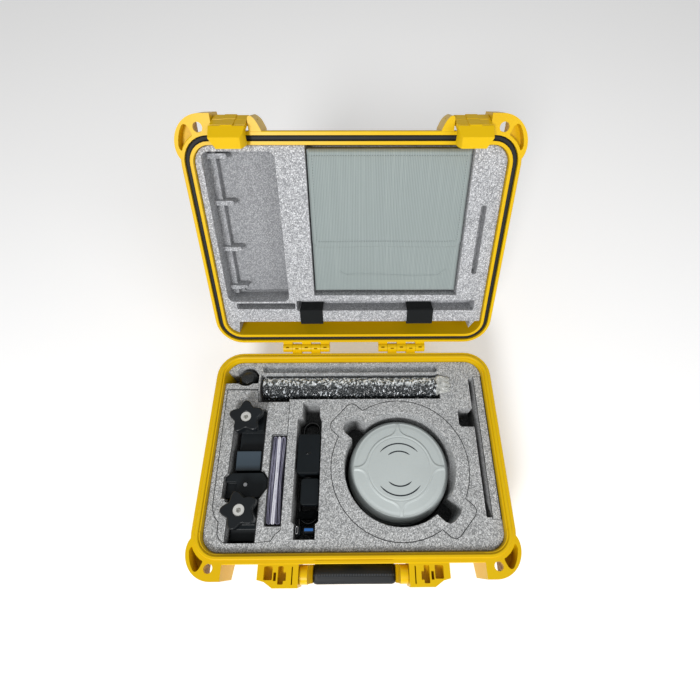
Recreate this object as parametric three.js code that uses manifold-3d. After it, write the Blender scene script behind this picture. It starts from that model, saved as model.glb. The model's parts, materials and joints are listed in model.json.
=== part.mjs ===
// A GNSS receiver kit: the round receiver lies in the foam of a hinged, latched carrying case with its
// pole clamp, extension pole, charger and pouch. Units are millimetres, +Z is up, and the origin is the
// centre of the case's underside. x runs across the case, s is the distance from the hinge axis towards
// the handle, and the front of the case faces -Y.

import * as THREE from "three";
import { mergeVertices } from "three/addons/utils/BufferGeometryUtils.js";
import Module from "manifold-3d";

const wasm = await Module();
wasm.setup();

// ---------------------------------------------------------------- driving dimensions
const CASE_WIDTH = 384; // across the rim flange
const CASE_DEPTH = 270; // rim flange, hinge side to handle side
const RIM_RADIUS = 34; // outer corner of the rim flange
const RIM_Z = 106; // height of the base's rim plane
const LID_HEIGHT = 48;
const HINGE_GAP = 8.5; // from the hinge axis to the rim flange
const LID_OPEN = 120; // degrees from closed
const GAP = 0.3; // between neighbouring pieces
const FRONT = HINGE_GAP + CASE_DEPTH; // s of the front flange edge
const HINGE_Y = HINGE_GAP + CASE_DEPTH / 2;
const HINGE_X = 68.5; // centre of each hinge
const KNUCKLE_WIDTH = 13.4;
const KNUCKLE_RADIUS = 6.2;
const PIN_RADIUS = 1.85;
const PIN_HOLE = 2.2;

const EAR_RADIUS = 33;
const EAR_X = 161.8; // centre of the ear's outer arc
const EAR_S = 262.5;
const EAR_INNER_X = 151.2; // face beside the latch
const EAR_HOLE = [166, 282.2, 5.2]; // x, s, radius
const EAR_SKIN = 5;
const EAR_POCKET = { base: 22, lid: 12 }; // depth of the drop-shaped pocket

const LATCH_X = [112.6, 150.6]; // inner and outer side of each latch
const LATCH_PIVOT_S = FRONT + 9;
const LATCH_PIVOT_K = 14; // above the rim plane, lid closed
const LATCH_REST = 20; // degrees that an open latch hangs inwards
const LATCH_PIN_RADIUS = 1.9;

const HANDLE_PIVOT_S = 289.5;
const HANDLE_PIVOT_Z = RIM_Z - 16;
const HANDLE_ARM_X = [51, 62.6];
const HANDLE_ARM_HALF = 10.2; // half of the arm's depth, and its eye's radius
const HANDLE_DROP = 39; // pivot to the middle of the grip
const BLOCK_X = [63.2, 109.8]; // block that holds the handle's pivot

const FOAM_Z = RIM_Z - 6; // top of the base foam
const FOAM_INSET = 12.2; // rim edge to foam
const FOAM_FLOOR = 4.4;
const LID_FOAM_K = 4.5; // lid foam surface above the rim plane, lid closed
const LID_FOAM_TOP = 43.6;

const RECEIVER_X = 59;
const RECEIVER_S = 168.5;
const RECEIVER_Z = 12.4;
const RECEIVER_RADIUS = 66;
const RECESS_RADIUS = 71.5;
const INSERT_RADIUS = 88.5;
const NOTCH_ANGLE = 42; // degrees, from +x towards +s
const NOTCH_WIDTH = 28;
const NOTCH_REACH = 91;

const KNOB_RADIUS = 22.5; // at the tips of the lobes
const KNOB_SCALLOP = 3.5; // half of the difference between a lobe and a scallop
const KNOB_TIP = { upper: 23, lower: 36 }; // degrees, direction of one lobe
const KNOB_UPPER = [-141.5, 106];
const KNOB_LOWER = [-136.5, 221];
const KNOB_Z = RIM_Z - 2;
const KNOB_THICKNESS = 13;

const POLE_S = 56.5;
const POLE_Z = FOAM_Z - 12.5;
const WRAP_RADIUS = 16.4;

const CORD_DIAMETER = 3.6;
const HANK_X = -59.3;
const HANK_S = [111.5, 221.5]; // centres of the two round ends
const HANK_RADIUS = 11.2;
const HANK_TURNS = 3;
const HANK_PITCH = 3.75;
const HANK_Z = RIM_Z - 50; // middle of the lowest turn

const SEGMENTS = 8; // per quarter of a case corner

// ---------------------------------------------------------------- materials
const paint = (color, roughness, metalness = 0) =>
  new THREE.MeshStandardMaterial({ color, roughness, metalness });
const YELLOW = paint(0xf0bf00, 0.45);
const BLACK_RUBBER = paint(0x16181a, 0.8);
const FOAM = paint(0x9b9b9c, 0.95);
const STEEL = paint(0xb8bbbd, 0.3, 1);
const BRASS = paint(0xc9a24a, 0.35, 1);
const BLACK_PLASTIC = paint(0x15181b, 0.5);
const DARK_METAL = paint(0x23282c, 0.4, 0.6);
const GREY_PLASTIC = paint(0xb4bdbb, 0.4);
const DARK_GREY = paint(0x50575a, 0.6);
const FABRIC = paint(0x8f9b98, 0.95);
const WEBBING = paint(0x171a1d, 0.95);
const FILM = paint(0xaab2b8, 0.2);
const PAPER = paint(0xd8d6e2, 0.7);
const CIRCUIT = paint(0x1f5a3c, 0.6);
const CERAMIC = paint(0xd9cdb0, 0.5);
const CELL_WRAP = paint(0x2f6fb0, 0.4);

// ---------------------------------------------------------------- solids
/** A closed geometry as a manifold solid. */
function solid(geometry) {
  const bare = geometry.clone();
  bare.deleteAttribute("normal");
  bare.deleteAttribute("uv");
  const merged = mergeVertices(bare, 1e-4);
  const vertProperties = new Float32Array(merged.attributes.position.array);
  const triVerts = new Uint32Array(merged.index.array);
  return new wasm.Manifold(new wasm.Mesh({ numProp: 3, vertProperties, triVerts }));
}

/** A manifold solid as a three.js geometry. */
function geometryOf(body) {
  const { vertProperties, triVerts, numProp } = body.getMesh();
  const positions = new Float32Array((vertProperties.length / numProp) * 3);
  for (let i = 0; i < positions.length / 3; i += 1) {
    for (let c = 0; c < 3; c += 1) positions[i * 3 + c] = vertProperties[i * numProp + c];
  }
  const geometry = new THREE.BufferGeometry();
  geometry.setAttribute("position", new THREE.BufferAttribute(positions, 3));
  geometry.setIndex(new THREE.BufferAttribute(new Uint32Array(triVerts), 1));
  geometry.computeVertexNormals();
  return geometry;
}

const union = (...bodies) => bodies.reduce((all, body) => all.add(body));
const cut = (body, ...tools) => tools.reduce((left, tool) => left.subtract(tool), body);

/** A box between two corners. */
function block(x0, x1, y0, y1, z0, z1) {
  const geometry = new THREE.BoxGeometry(Math.abs(x1 - x0), Math.abs(y1 - y0), Math.abs(z1 - z0));
  return solid(geometry.translate((x0 + x1) / 2, (y0 + y1) / 2, (z0 + z1) / 2));
}

/** A shape given as [x, s] points or a THREE.Shape, extruded in z; s becomes -y. */
function prism(outline, z0, z1, curveSegments = 8) {
  const shape = outline instanceof THREE.Shape ? outline : polygon(outline);
  const geometry = new THREE.ExtrudeGeometry(shape, { depth: z1 - z0, bevelEnabled: false, curveSegments });
  return solid(geometry.translate(0, 0, z0));
}

/** A shape through [x, s] points, in x and y = -s. */
function polygon(points) {
  return new THREE.Shape(points.map(([x, s]) => new THREE.Vector2(x, -s)));
}

/** A rectangle with round corners, by its x and s ranges. */
function roundRect(x0, x1, s0, s1, r) {
  const shape = new THREE.Shape();
  shape.absarc(x1 - r, -s0 - r, r, 0, Math.PI / 2);
  shape.absarc(x0 + r, -s0 - r, r, Math.PI / 2, Math.PI);
  shape.absarc(x0 + r, -s1 + r, r, Math.PI, Math.PI * 1.5);
  shape.absarc(x1 - r, -s1 + r, r, Math.PI * 1.5, Math.PI * 2);
  return shape;
}

/** A cylinder along z, x or y through (x, y, z), from a to b along its axis. */
function rod(axis, x, y, z, radius, a, b, sides = 16) {
  const geometry = new THREE.CylinderGeometry(radius, radius, b - a, sides).translate(0, (a + b) / 2, 0);
  if (axis === "x") geometry.rotateZ(-Math.PI / 2);
  if (axis === "z") geometry.rotateX(Math.PI / 2);
  return solid(geometry.translate(x, y, z));
}

/** A profile of [radius, z] points turned about z. */
function turned(profile, sides = 32) {
  const closed = profile[0][0] > 0 ? [...profile, profile[0]] : profile;
  const points = closed.map(([r, z]) => new THREE.Vector2(r, z));
  const spin = (line) => solid(new THREE.LatheGeometry(line, sides).rotateX(Math.PI / 2));
  const body = spin(points);
  return body.volume() > 0 ? body : spin(points.reverse());
}

/** One loop of a case's rounded rectangle, drawn in by inset, at height z. */
function rimLoop(inset, z) {
  const radius = Math.max(RIM_RADIUS - inset, 6);
  const half = CASE_WIDTH / 2 - inset;
  const shape = roundRect(-half, half, HINGE_GAP + inset, FRONT - inset, radius);
  const points = [];
  for (const curve of shape.curves.filter((c) => c instanceof THREE.EllipseCurve)) {
    points.push(...curve.getPoints(SEGMENTS));
  }
  return points.map((p) => new THREE.Vector3(p.x, p.y, z));
}

/** A solid through loops of the same number of points: capped at both ends, or closed on itself as a ring. */
function loft(loops, ring = false) {
  const count = loops[0].length;
  const points = loops.flat();
  const faces = [];
  const last = ring ? loops.length : loops.length - 1;
  for (let i = 0; i < last; i += 1) {
    const a = i * count;
    const b = ((i + 1) % loops.length) * count;
    for (let j = 0; j < count; j += 1) {
      const k = (j + 1) % count;
      faces.push([a + j, a + k, b + k], [a + j, b + k, b + j]);
    }
  }
  if (!ring) {
    const top = (loops.length - 1) * count;
    for (let j = 1; j < count - 1; j += 1) faces.push([0, j + 1, j], [top, top + j, top + j + 1]);
  }
  const geometry = new THREE.BufferGeometry().setFromPoints(points);
  geometry.setIndex(faces.flat());
  const body = solid(geometry);
  if (body.volume() > 0) return body;
  geometry.setIndex(faces.map(([a, b, c]) => [a, c, b]).flat());
  return solid(geometry);
}

const rimSolid = (profile, ring = false) => loft(profile.map(([inset, z]) => rimLoop(inset, z)), ring);

/** Mirrors a list of solids in x and returns both sides. */
const bothSides = (...bodies) => bodies.flatMap((body) => [body, body.mirror([1, 0, 0])]);

/** The right-hand solid and its mirror image, each with its name and material. */
function pairOf(name, body, material = STEEL) {
  return [[`${name}_right`, body, material], [`${name}_left`, body.mirror([1, 0, 0]), material]];
}

function named(name, body, material) {
  const mesh = new THREE.Mesh(body.isBufferGeometry ? body : geometryOf(body), material);
  mesh.name = name;
  return mesh;
}

// ---------------------------------------------------------------- corner ears, shared by base and lid
/** One corner ear from z0 (its far side) to z1 (the rim plane); it gets thinner towards its outer edge. */
function ear(z0, z1, slope, pocketDepth) {
  const down = Math.sign(z0 - z1);
  const shape = new THREE.Shape();
  shape.moveTo(-170, -236);
  shape.lineTo(-190.6, -250);
  shape.quadraticCurveTo(-194.4, -254, -EAR_X - EAR_RADIUS, -EAR_S);
  shape.absarc(-EAR_X, -EAR_S, EAR_RADIUS, Math.PI, Math.PI * 1.5);
  shape.lineTo(-EAR_INNER_X, -EAR_S - EAR_RADIUS);
  shape.lineTo(-EAR_INNER_X, -FRONT + 16);
  const body = prism(shape, Math.min(z0, z1), Math.max(z0, z1), 10);

  const inner = new THREE.Shape();
  inner.moveTo(-160, -250);
  inner.lineTo(-182, -264);
  inner.absarc(-EAR_X, -EAR_S - 1, EAR_RADIUS - 4.2, Math.PI * 1.18, Math.PI * 1.5);
  inner.lineTo(-EAR_INNER_X - 3.2, -EAR_S - EAR_RADIUS + 3.2);
  inner.lineTo(-EAR_INNER_X - 3.2, -262);
  const skin = z1 + down * EAR_SKIN;
  const cavity = prism(inner, Math.min(skin, z0 + down * 5), Math.max(skin, z0 + down * 5), 8);

  const drop = new THREE.Shape();
  drop.moveTo(-190.6, -264);
  drop.quadraticCurveTo(-189.4, -275, -183.4, -283.4);
  drop.quadraticCurveTo(-180, -287.4, -176.6, -283);
  drop.quadraticCurveTo(-174.6, -279.4, -173.4, -276);
  drop.quadraticCurveTo(-173, -274.4, -174.4, -273.2);
  drop.quadraticCurveTo(-181, -267, -184.6, -260.4);
  drop.quadraticCurveTo(-189.8, -256.6, -190.6, -264);
  const pocketEnd = z1 + down * pocketDepth;
  const pocket = prism(drop, Math.min(z1 - down, pocketEnd), Math.max(z1 - down, pocketEnd), 4);
  const padOutline = [[-198, 252], [-171, 258], [-171, 291], [-198, 291]];
  const padEnd = z1 + down * (pocketDepth + 3);
  const floorPad = prism(padOutline, Math.min(z1, padEnd), Math.max(z1, padEnd));

  const [x, s, radius] = EAR_HOLE;
  const hole = rod("z", -x, -s, 0, radius, Math.min(z0, z1) - 10, Math.max(z0, z1) + 10);
  const wedge = new THREE.BoxGeometry(200, 120, 60).translate(0, 0, (down * 60) / 2);
  wedge.rotateX(down * slope).rotateZ(-Math.PI / 4).translate(-186.3, -285.8, z1 + (z0 - z1) * 0.5);
  return cut(union(cut(body, cavity), floorPad.intersect(body)), pocket, hole, solid(wedge));
}

// ---------------------------------------------------------------- hinge knuckles
const knuckleStart = (n) => HINGE_X - 2.5 * KNUCKLE_WIDTH + n * KNUCKLE_WIDTH;

/** Knuckle n of both hinges; side is +1 for the lid, whose web lies above the axis, and -1 for the base. */
function knuckles(numbers, side, z) {
  return numbers.flatMap((n) => {
    const a = knuckleStart(n) + GAP / 2;
    const b = a + KNUCKLE_WIDTH - GAP;
    const barrel = rod("x", 0, 0, z, KNUCKLE_RADIUS, a, b);
    const web = block(a, b, -HINGE_GAP - 3, -1.5, z + side * 0.6, z + side * 9.2);
    const slot = block(a + 4.2, b - 4.2, -4.4, -2.8, z + side * 2, z - side * 9);
    const bore = rod("x", 0, 0, z, PIN_HOLE, a - 1, b + 1);
    return bothSides(cut(union(barrel, web), bore, slot));
  });
}

// ---------------------------------------------------------------- base
function baseShell() {
  const outer = rimSolid([
    [23, 0], [18.4, 1.4], [16.2, 5.5], [8.4, RIM_Z - 15], [1.2, RIM_Z - 12.8], [0, RIM_Z - 11.6],
    [0, RIM_Z - 1], [0.9, RIM_Z], [4.7, RIM_Z], [5.2, RIM_Z + 1.5], [5.9, RIM_Z + 2], [8.1, RIM_Z + 2],
    [8.8, RIM_Z + 1.5], [9.4, RIM_Z - 0.6], [20, RIM_Z - 0.6],
  ]);
  const interior = rimSolid([
    [24, 4], [20.6, 4.8], [19.2, 8], [12, RIM_Z - 14], [11.7, RIM_Z - 3.4], [11.2, RIM_Z - 1.4],
    [10.8, RIM_Z - 0.5], [10.8, RIM_Z + 8],
  ]);

  // Blocks that carry the handle, with their ribs' pockets and slots.
  const [b0, b1] = BLOCK_X;
  const outline = [[-b1, 266], [-b1, 294], [-101.6, 296], [-91.8, 302.4], [-b0, 302.4], [-b0, 266]];
  const mount = prism(outline, RIM_Z - 44, RIM_Z - 1);
  const slope = new THREE.BoxGeometry(60, 80, 40).rotateX(0.9).translate(-92, -306, RIM_Z - 76);
  const pocketFloor = HANDLE_PIVOT_Z + PIN_HOLE + 1.3;
  const pocket = prism(roundRect(-102.2, -92.4, 280.4, 294.2, 1.2), pocketFloor, RIM_Z + 1, 2);
  const channel = prism(roundRect(-86.2, -79.8, 280.4, 298.6, 1.2), pocketFloor, RIM_Z + 1, 2);
  const slots = [[-91.2, -88], [-79.9, -76.8], [-70.8, -69.4]].map(([x0, x1], i) =>
    block(x0, x1, i === 2 ? -299 : -295, i === 2 ? -281 : -286.6, pocketFloor, RIM_Z + 1));
  const pinHole = rod("x", 0, -HANDLE_PIVOT_S, HANDLE_PIVOT_Z, PIN_HOLE, -b1 + 8, -b0 + 1);
  const mountBody = cut(mount, solid(slope), pocket, channel, ...slots, pinHole);

  // Ribs round the tub and three pads underneath.
  const ribs = [-132, -44, 44, 132].map((x) => block(x - 4, x + 4, -17, -26, 8, RIM_Z - 12));
  const frontRibs = [-40, 40].map((x) => block(x - 4, x + 4, -FRONT + 18, -FRONT + 8.6, 8, RIM_Z - 12));
  const sideRibs = [80, 144, 208].flatMap((s) => bothSides(block(-184, -170, -s - 4, -s + 4, 8, RIM_Z - 12)));

  const corners = bothSides(ear(RIM_Z - 75, RIM_Z, 0.62, EAR_POCKET.base), mountBody);
  const all = union(outer, ...corners, ...ribs, ...frontRibs, ...sideRibs);
  const recess = prism(roundRect(-118, 118, 76, 210, 14), -1, 0.9, 4);
  const centrePad = prism(roundRect(-60, 60, 120, 167, 8), -2, 1.4, 3);
  const valveHole = rod("y", 0, 0, RIM_Z - 34, 8.3, -FRONT - 2, -FRONT + 13.6, 20);
  const partingLine = block(-45, 45, -274.9, -274.2, RIM_Z - 0.5, RIM_Z + 1);
  const body = cut(all, interior, cut(recess, centrePad), valveHole, partingLine);
  return union(body, ...knuckles([1, 3], -1, RIM_Z));
}

/** An outline cut from a foam block from depth z0 up. */
const pocketCut = (shape, z0, segments = 4) => prism(shape, z0, FOAM_Z + 5, segments);

/** A point at angle (degrees from +x towards +s) and radius from the receiver's axis, as [x, s]. */
function around(angle, radius, across = 0) {
  const a = THREE.MathUtils.degToRad(angle);
  const x = RECEIVER_X + radius * Math.cos(a) - across * Math.sin(a);
  return [x, RECEIVER_S + radius * Math.sin(a) + across * Math.cos(a)];
}

/** A round hole about the receiver with a finger notch on each side: reach and width are the notch's. */
function notchedCircle(radius, reach, width, z0, z1) {
  const circle = rod("z", RECEIVER_X, -RECEIVER_S, 0, radius, z0, z1, 48);
  const notch = (angle) => {
    const half = width / 2;
    const soft = Math.min(8, half - 2);
    const near = reach - soft * 0.3;
    const tip = [
      around(angle, 20, -half), around(angle, reach - soft, -half), around(angle, near, -half + soft * 0.3),
      around(angle, reach, -half + soft), around(angle, reach, half - soft),
      around(angle, near, half - soft * 0.3), around(angle, reach - soft, half), around(angle, 20, half),
    ];
    return prism(tip, z0, z1);
  };
  return union(circle, notch(NOTCH_ANGLE), notch(NOTCH_ANGLE + 180));
}

const CLAMP_INSERT = [
  [-176, 61], [-134, 61], [-131, 80.5], [-88, 80.5], [-88, 242], [-94, 247], [-99, 254], [-118, 256],
  [-153, 256], [-160, 251.5], [-163, 246], [-163.5, 233], [-169, 227], [-173, 216],
];
const CHARGER_POCKET = [
  [-70, 82], [-46, 82], [-46, 101], [-43, 105], [-43, 233], [-46.5, 236],
  [-46.5, 253], [-72.5, 253], [-72.5, 236], [-76, 233], [-76, 105], [-70, 101],
];
const SIDE_STRIP = [[168.4, 44], [186, 44], [186, 232], [168.4, 232]];

/** The foam's outer block, drawn in from the tub's wall. */
function foamBlock() {
  return rimSolid([
    [24.6, FOAM_FLOOR], [20.4, 8], [FOAM_INSET + 0.2, RIM_Z - 14], [FOAM_INSET, FOAM_Z - 1],
    [FOAM_INSET + 1, FOAM_Z],
  ]);
}

/** Outline grown by distance d about its own middle, for the saw cut round an insert. */
function grown(points, d) {
  const middle = points.reduce(([a, b], [x, s]) => [a + x / points.length, b + s / points.length], [0, 0]);
  return points.map(([x, s]) => [x + Math.sign(x - middle[0]) * d, s + Math.sign(s - middle[1]) * d]);
}

function baseFoam() {
  const low = FOAM_FLOOR - 1;
  const poleOutline = [[-132, 39], [120, 39], [120, 77], [-88.6, 77], [-89, 80.5], [-131, 80.5]];
  const seatRadius = INSERT_RADIUS + GAP;
  return cut(
    foamBlock(),
    pocketCut(polygon(poleOutline), POLE_Z - WRAP_RADIUS - 1.6),
    pocketCut(roundRect(-130, 119, 24.5, 37, 5), FOAM_Z - 9),
    pocketCut(polygon([[-190, 35], [-134, 35], [-134, 53], [-190, 53]]), FOAM_Z - 34),
    rod("z", -152, -41, 0, 15.8, FOAM_Z - 34, FOAM_Z + 2, 20),
    prism(grown(CLAMP_INSERT, GAP), 30, FOAM_Z + 2),
    pocketCut(roundRect(-108, -88.3, 126, 238, 2), FOAM_Z - 34),
    pocketCut(polygon(CHARGER_POCKET), HANK_Z - 2.4),
    notchedCircle(seatRadius, NOTCH_REACH + 15, NOTCH_WIDTH + 20, RECEIVER_Z + 22, FOAM_Z + 2),
    rod("z", RECEIVER_X, -RECEIVER_S, 0, RECESS_RADIUS, RECEIVER_Z - 0.4, FOAM_Z + 2, 48),
    prism(grown(SIDE_STRIP, GAP), low, FOAM_Z + 2),
    pocketCut(roundRect(161, 169, 46, 230, 2), FOAM_Z - 48),
    pocketCut(roundRect(141, 165, 91, 117, 5), FOAM_Z - 48),
  );
}

function receiverFoamRing() {
  const width = NOTCH_WIDTH + 20 - 2 * GAP;
  const ring = notchedCircle(INSERT_RADIUS, NOTCH_REACH + 15 - GAP, width, RECEIVER_Z + 22.4, FOAM_Z);
  return cut(ring, notchedCircle(RECESS_RADIUS, NOTCH_REACH, NOTCH_WIDTH, 20, FOAM_Z + 2));
}

function clampFoamInsert() {
  const body = prism(CLAMP_INSERT, 30.4, FOAM_Z).intersect(foamBlock());
  const blockOutline = [
    [-163.5, 180], [-157, 173], [-115, 173], [-108.3, 182], [-108.3, 194], [-117, 206], [-163.5, 206],
  ];
  return cut(
    body,
    pocketCut(roundRect(-159.5, -117.5, 92, 210, 3), FOAM_Z - 40),
    pocketCut(roundRect(-153.5, -117.5, 180, 260, 2), FOAM_Z - 40),
    pocketCut(polygon(blockOutline), FOAM_Z - 40),
    pocketCut(roundRect(-108, -80, 126, 238, 2), FOAM_Z - 34),
    pocketCut(polygon([[-180, 35], [-134, 35], [-134, 63], [-180, 63]]), FOAM_Z - 2),
  );
}

function sideFoamStrip() {
  return prism(SIDE_STRIP, 50, FOAM_Z).intersect(foamBlock());
}

// ---------------------------------------------------------------- handle
function handleFrame() {
  const z = HANDLE_PIVOT_Z;
  const [a0, a1] = HANDLE_ARM_X;
  const side = new THREE.Shape();
  side.moveTo(-a1, z);
  side.lineTo(-a1, z - HANDLE_DROP);
  side.absarc(-a1 + 9, z - HANDLE_DROP, 9, Math.PI, Math.PI * 1.5);
  side.lineTo(-a0, z - HANDLE_DROP - 9);
  side.lineTo(-a0, z - HANDLE_DROP + 10);
  side.quadraticCurveTo(-a0 - 2.6, z - HANDLE_DROP + 15, -a0 - 2.6, z - HANDLE_DROP + 20);
  side.lineTo(-a0 - 2.6, z);
  const depth = 2 * HANDLE_ARM_HALF;
  const upright = new THREE.ExtrudeGeometry(side, { depth, bevelEnabled: false, curveSegments: 6 });
  upright.rotateX(Math.PI / 2).translate(0, -HANDLE_PIVOT_S + HANDLE_ARM_HALF, 0);
  const arm = union(rod("x", 0, -HANDLE_PIVOT_S, z, HANDLE_ARM_HALF, -a1, -a0 - 2.6, 20), solid(upright));
  const core = rod("x", 0, -HANDLE_PIVOT_S, z - HANDLE_DROP, 5.6, -a0 - 2, a0 + 2, 12);
  const bore = rod("x", 0, -HANDLE_PIVOT_S, z, PIN_HOLE, -a1 - 1, -a1 + 8);
  return union(...bothSides(cut(arm, bore)), core);
}

function handleGrip() {
  const half = HANDLE_ARM_X[0] - GAP;
  const z = HANDLE_PIVOT_Z - HANDLE_DROP;
  const section = new THREE.Shape();
  section.absellipse(0, 0, 11, 9.8, 0, Math.PI * 2);
  const rounding = { bevelSize: 1, bevelThickness: 1, bevelSegments: 1, curveSegments: 12 };
  const sleeve = new THREE.ExtrudeGeometry(section, { depth: half * 2 - 2, ...rounding });
  sleeve.translate(0, 0, 1 - half).rotateY(Math.PI / 2).translate(0, -HANDLE_PIVOT_S, z);
  return cut(solid(sleeve), rod("x", 0, -HANDLE_PIVOT_S, z, 5.9, -half - 2, half + 2, 12));
}

function handlePins() {
  const inner = HANDLE_ARM_X[1] - 7.4;
  const outer = BLOCK_X[1] - 8.6;
  return pairOf("handle_pin", rod("x", 0, -HANDLE_PIVOT_S, HANDLE_PIVOT_Z, PIN_RADIUS, inner, outer, 12));
}

// ---------------------------------------------------------------- lid
// The lid's pieces are drawn closed: z = 0 is the rim plane and +z is the lid's top.
function lidShell() {
  const top = LID_HEIGHT;
  const outer = rimSolid([
    [13, 0.3], [0.9, 0.3], [0, 1.2], [0, 10.4], [1.2, 11.4], [8.6, 13.6],
    [15.4, top - 5], [17.4, top - 1.4], [22, top],
  ]);
  const channel = rimSolid([[4, -2], [4, 7.6], [10, 7.6], [10, -2]], true);
  const interior = rimSolid([[13.6, -3], [13.6, 1.2], [14, 14], [18.6, 40.5], [21, 44], [26, 44.6]]);
  const lip = rimSolid([[10.6, -2], [10.2, 0.5], [13.9, 0.5], [13.9, -2]], true);

  // The second lug of each latch, with its curved foot.
  const lug = new THREE.Shape();
  lug.moveTo(-111.6, -266);
  lug.lineTo(-111.6, -290.5);
  lug.quadraticCurveTo(-111, -293, -108.5, -293);
  lug.quadraticCurveTo(-103.5, -292, -98, -278.6);
  lug.lineTo(-98, -266);
  const lugSlope = new THREE.BoxGeometry(40, 40, 40).rotateX(-0.7).translate(-105, -306, 44);
  const lugBody = cut(prism(lug, 0.6, 34), solid(lugSlope));
  const pinHole = rod("x", 0, -LATCH_PIVOT_S, LATCH_PIVOT_K, PIN_HOLE, -158, -103);

  // Raised panel and ribs on top.
  const panel = rimSolid([[44, top - 2], [44, top + 0.8], [45.6, top + 1.6], [60, top + 1.6]]);
  const groove = rimSolid([[56, top + 0.4], [56, top + 3], [59, top + 3], [59, top + 0.4]], true);
  const ribs = [80, 144, 208].flatMap((s) => bothSides(block(-184, -170, -s - 4, -s + 4, 11, top - 7)));
  const backRibs = [-132, 0, 132].map((x) => block(x - 4, x + 4, -16, -26, 11, top - 7));
  const corners = bothSides(ear(40, 0.3, 0.5, EAR_POCKET.lid), lugBody);
  const all = union(outer, ...corners, panel, ...ribs, ...backRibs);
  return union(cut(all, interior, channel, lip, groove, ...bothSides(pinHole)), ...knuckles([0, 2, 4], 1, 0));
}

function lidGasket() {
  return rimSolid([[4.3, 7.3], [4.3, 3.4], [5.6, 2.5], [8.4, 2.5], [9.7, 3.4], [9.7, 7.3]], true);
}

const POUCH = [-52, 138, 85, 260]; // x and s ranges
const TRAY = [-170, -87, 72, 258]; // deep tray of the lid foam, over the pole clamp

function lidFoam() {
  const [k0, k1] = [LID_FOAM_K, LID_FOAM_TOP];
  const body = rimSolid([[15.4, k0], [14.3, k0 + 1], [14.5, 14], [19.2, 40.4], [21.8, k1]]);
  const open = (shape, depth, segments = 4) => prism(shape, k0 - 3, k0 + depth, segments);
  const tray = open(roundRect(...TRAY, 8), 34);
  const fin = (s) => roundRect(-172, -146, s - 2.8, s + 2.8, 2.4);
  const supports = [86, 140, 198, 251].map((s) => prism(fin(s), k0 + 17, k0 + 36, 3));
  const ledge = block(-172, -161, -TRAY[3] + 2, -TRAY[2] - 2, k0 + 24, k0 + 36);
  const trough = block(-186, 186, -41, -10, k0 - 3, k1 + 2);
  const keep = prism([[-180, 22], [-163, 22], [-160, 44], [-180, 44]], k0, k1).intersect(body);
  return cut(
    union(cut(body, trough), keep, prism([[163, 30], [178, 52], [163, 44]], k0, 30)),
    cut(tray, ...supports, ledge),
    open(roundRect(-155, -90, 73, 85, 2), 37.5),
    open(roundRect(-160, -80, 60.5, 69.5, 2), 24),
    open(roundRect(-78, 166, 58, 73, 2), 24),
    open(polygon([[-53, 81], [139, 81], [139, 275], [-53, 275]]), 30),
    open(roundRect(155, 162, 111, 199, 3.4), 18),
  ).intersect(body);
}

/** A flat strap drawn in s and z as a band of points, extruded across x. */
function strap(x0, x1, band) {
  const shape = new THREE.Shape(band.map(([s, z]) => new THREE.Vector2(s, z)));
  const geometry = new THREE.ExtrudeGeometry(shape, { depth: x1 - x0, bevelEnabled: false });
  const along = new THREE.Vector3(0, -1, 0);
  const up = new THREE.Vector3(0, 0, 1);
  const across = new THREE.Vector3(-1, 0, 0);
  const turn = new THREE.Matrix4().makeBasis(along, up, across);
  return solid(geometry.applyMatrix4(turn).translate(x1, 0, 0));
}

const STRAP_BAND = [
  [58.5, 27], [60.4, 27], [60.4, 2.8], [59.2, 1.7], [40.6, 1.7], [37.2, 4.2], [36.6, 12], [38.2, 33],
  [39.9, 33], [38.6, 12], [39, 5.6], [40.6, 4.1], [58.5, 4.1],
];

function lidPouch() {
  const [x0, x1, s0, s1] = POUCH;
  return loft([
    ...[[3, 33], [0, 29.5], [0, 12.5], [2, 9]].map(([inset, z]) =>
      roundRect(x0 + inset, x1 - inset, s0 + inset, s1 - inset, 4 - inset)
        .getPoints(3)
        .filter((p, i, all) => i === 0 || p.distanceTo(all[i - 1]) > 1e-6)
        .map((p) => new THREE.Vector3(p.x, p.y, z)),
    ),
  ]);
}

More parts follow.
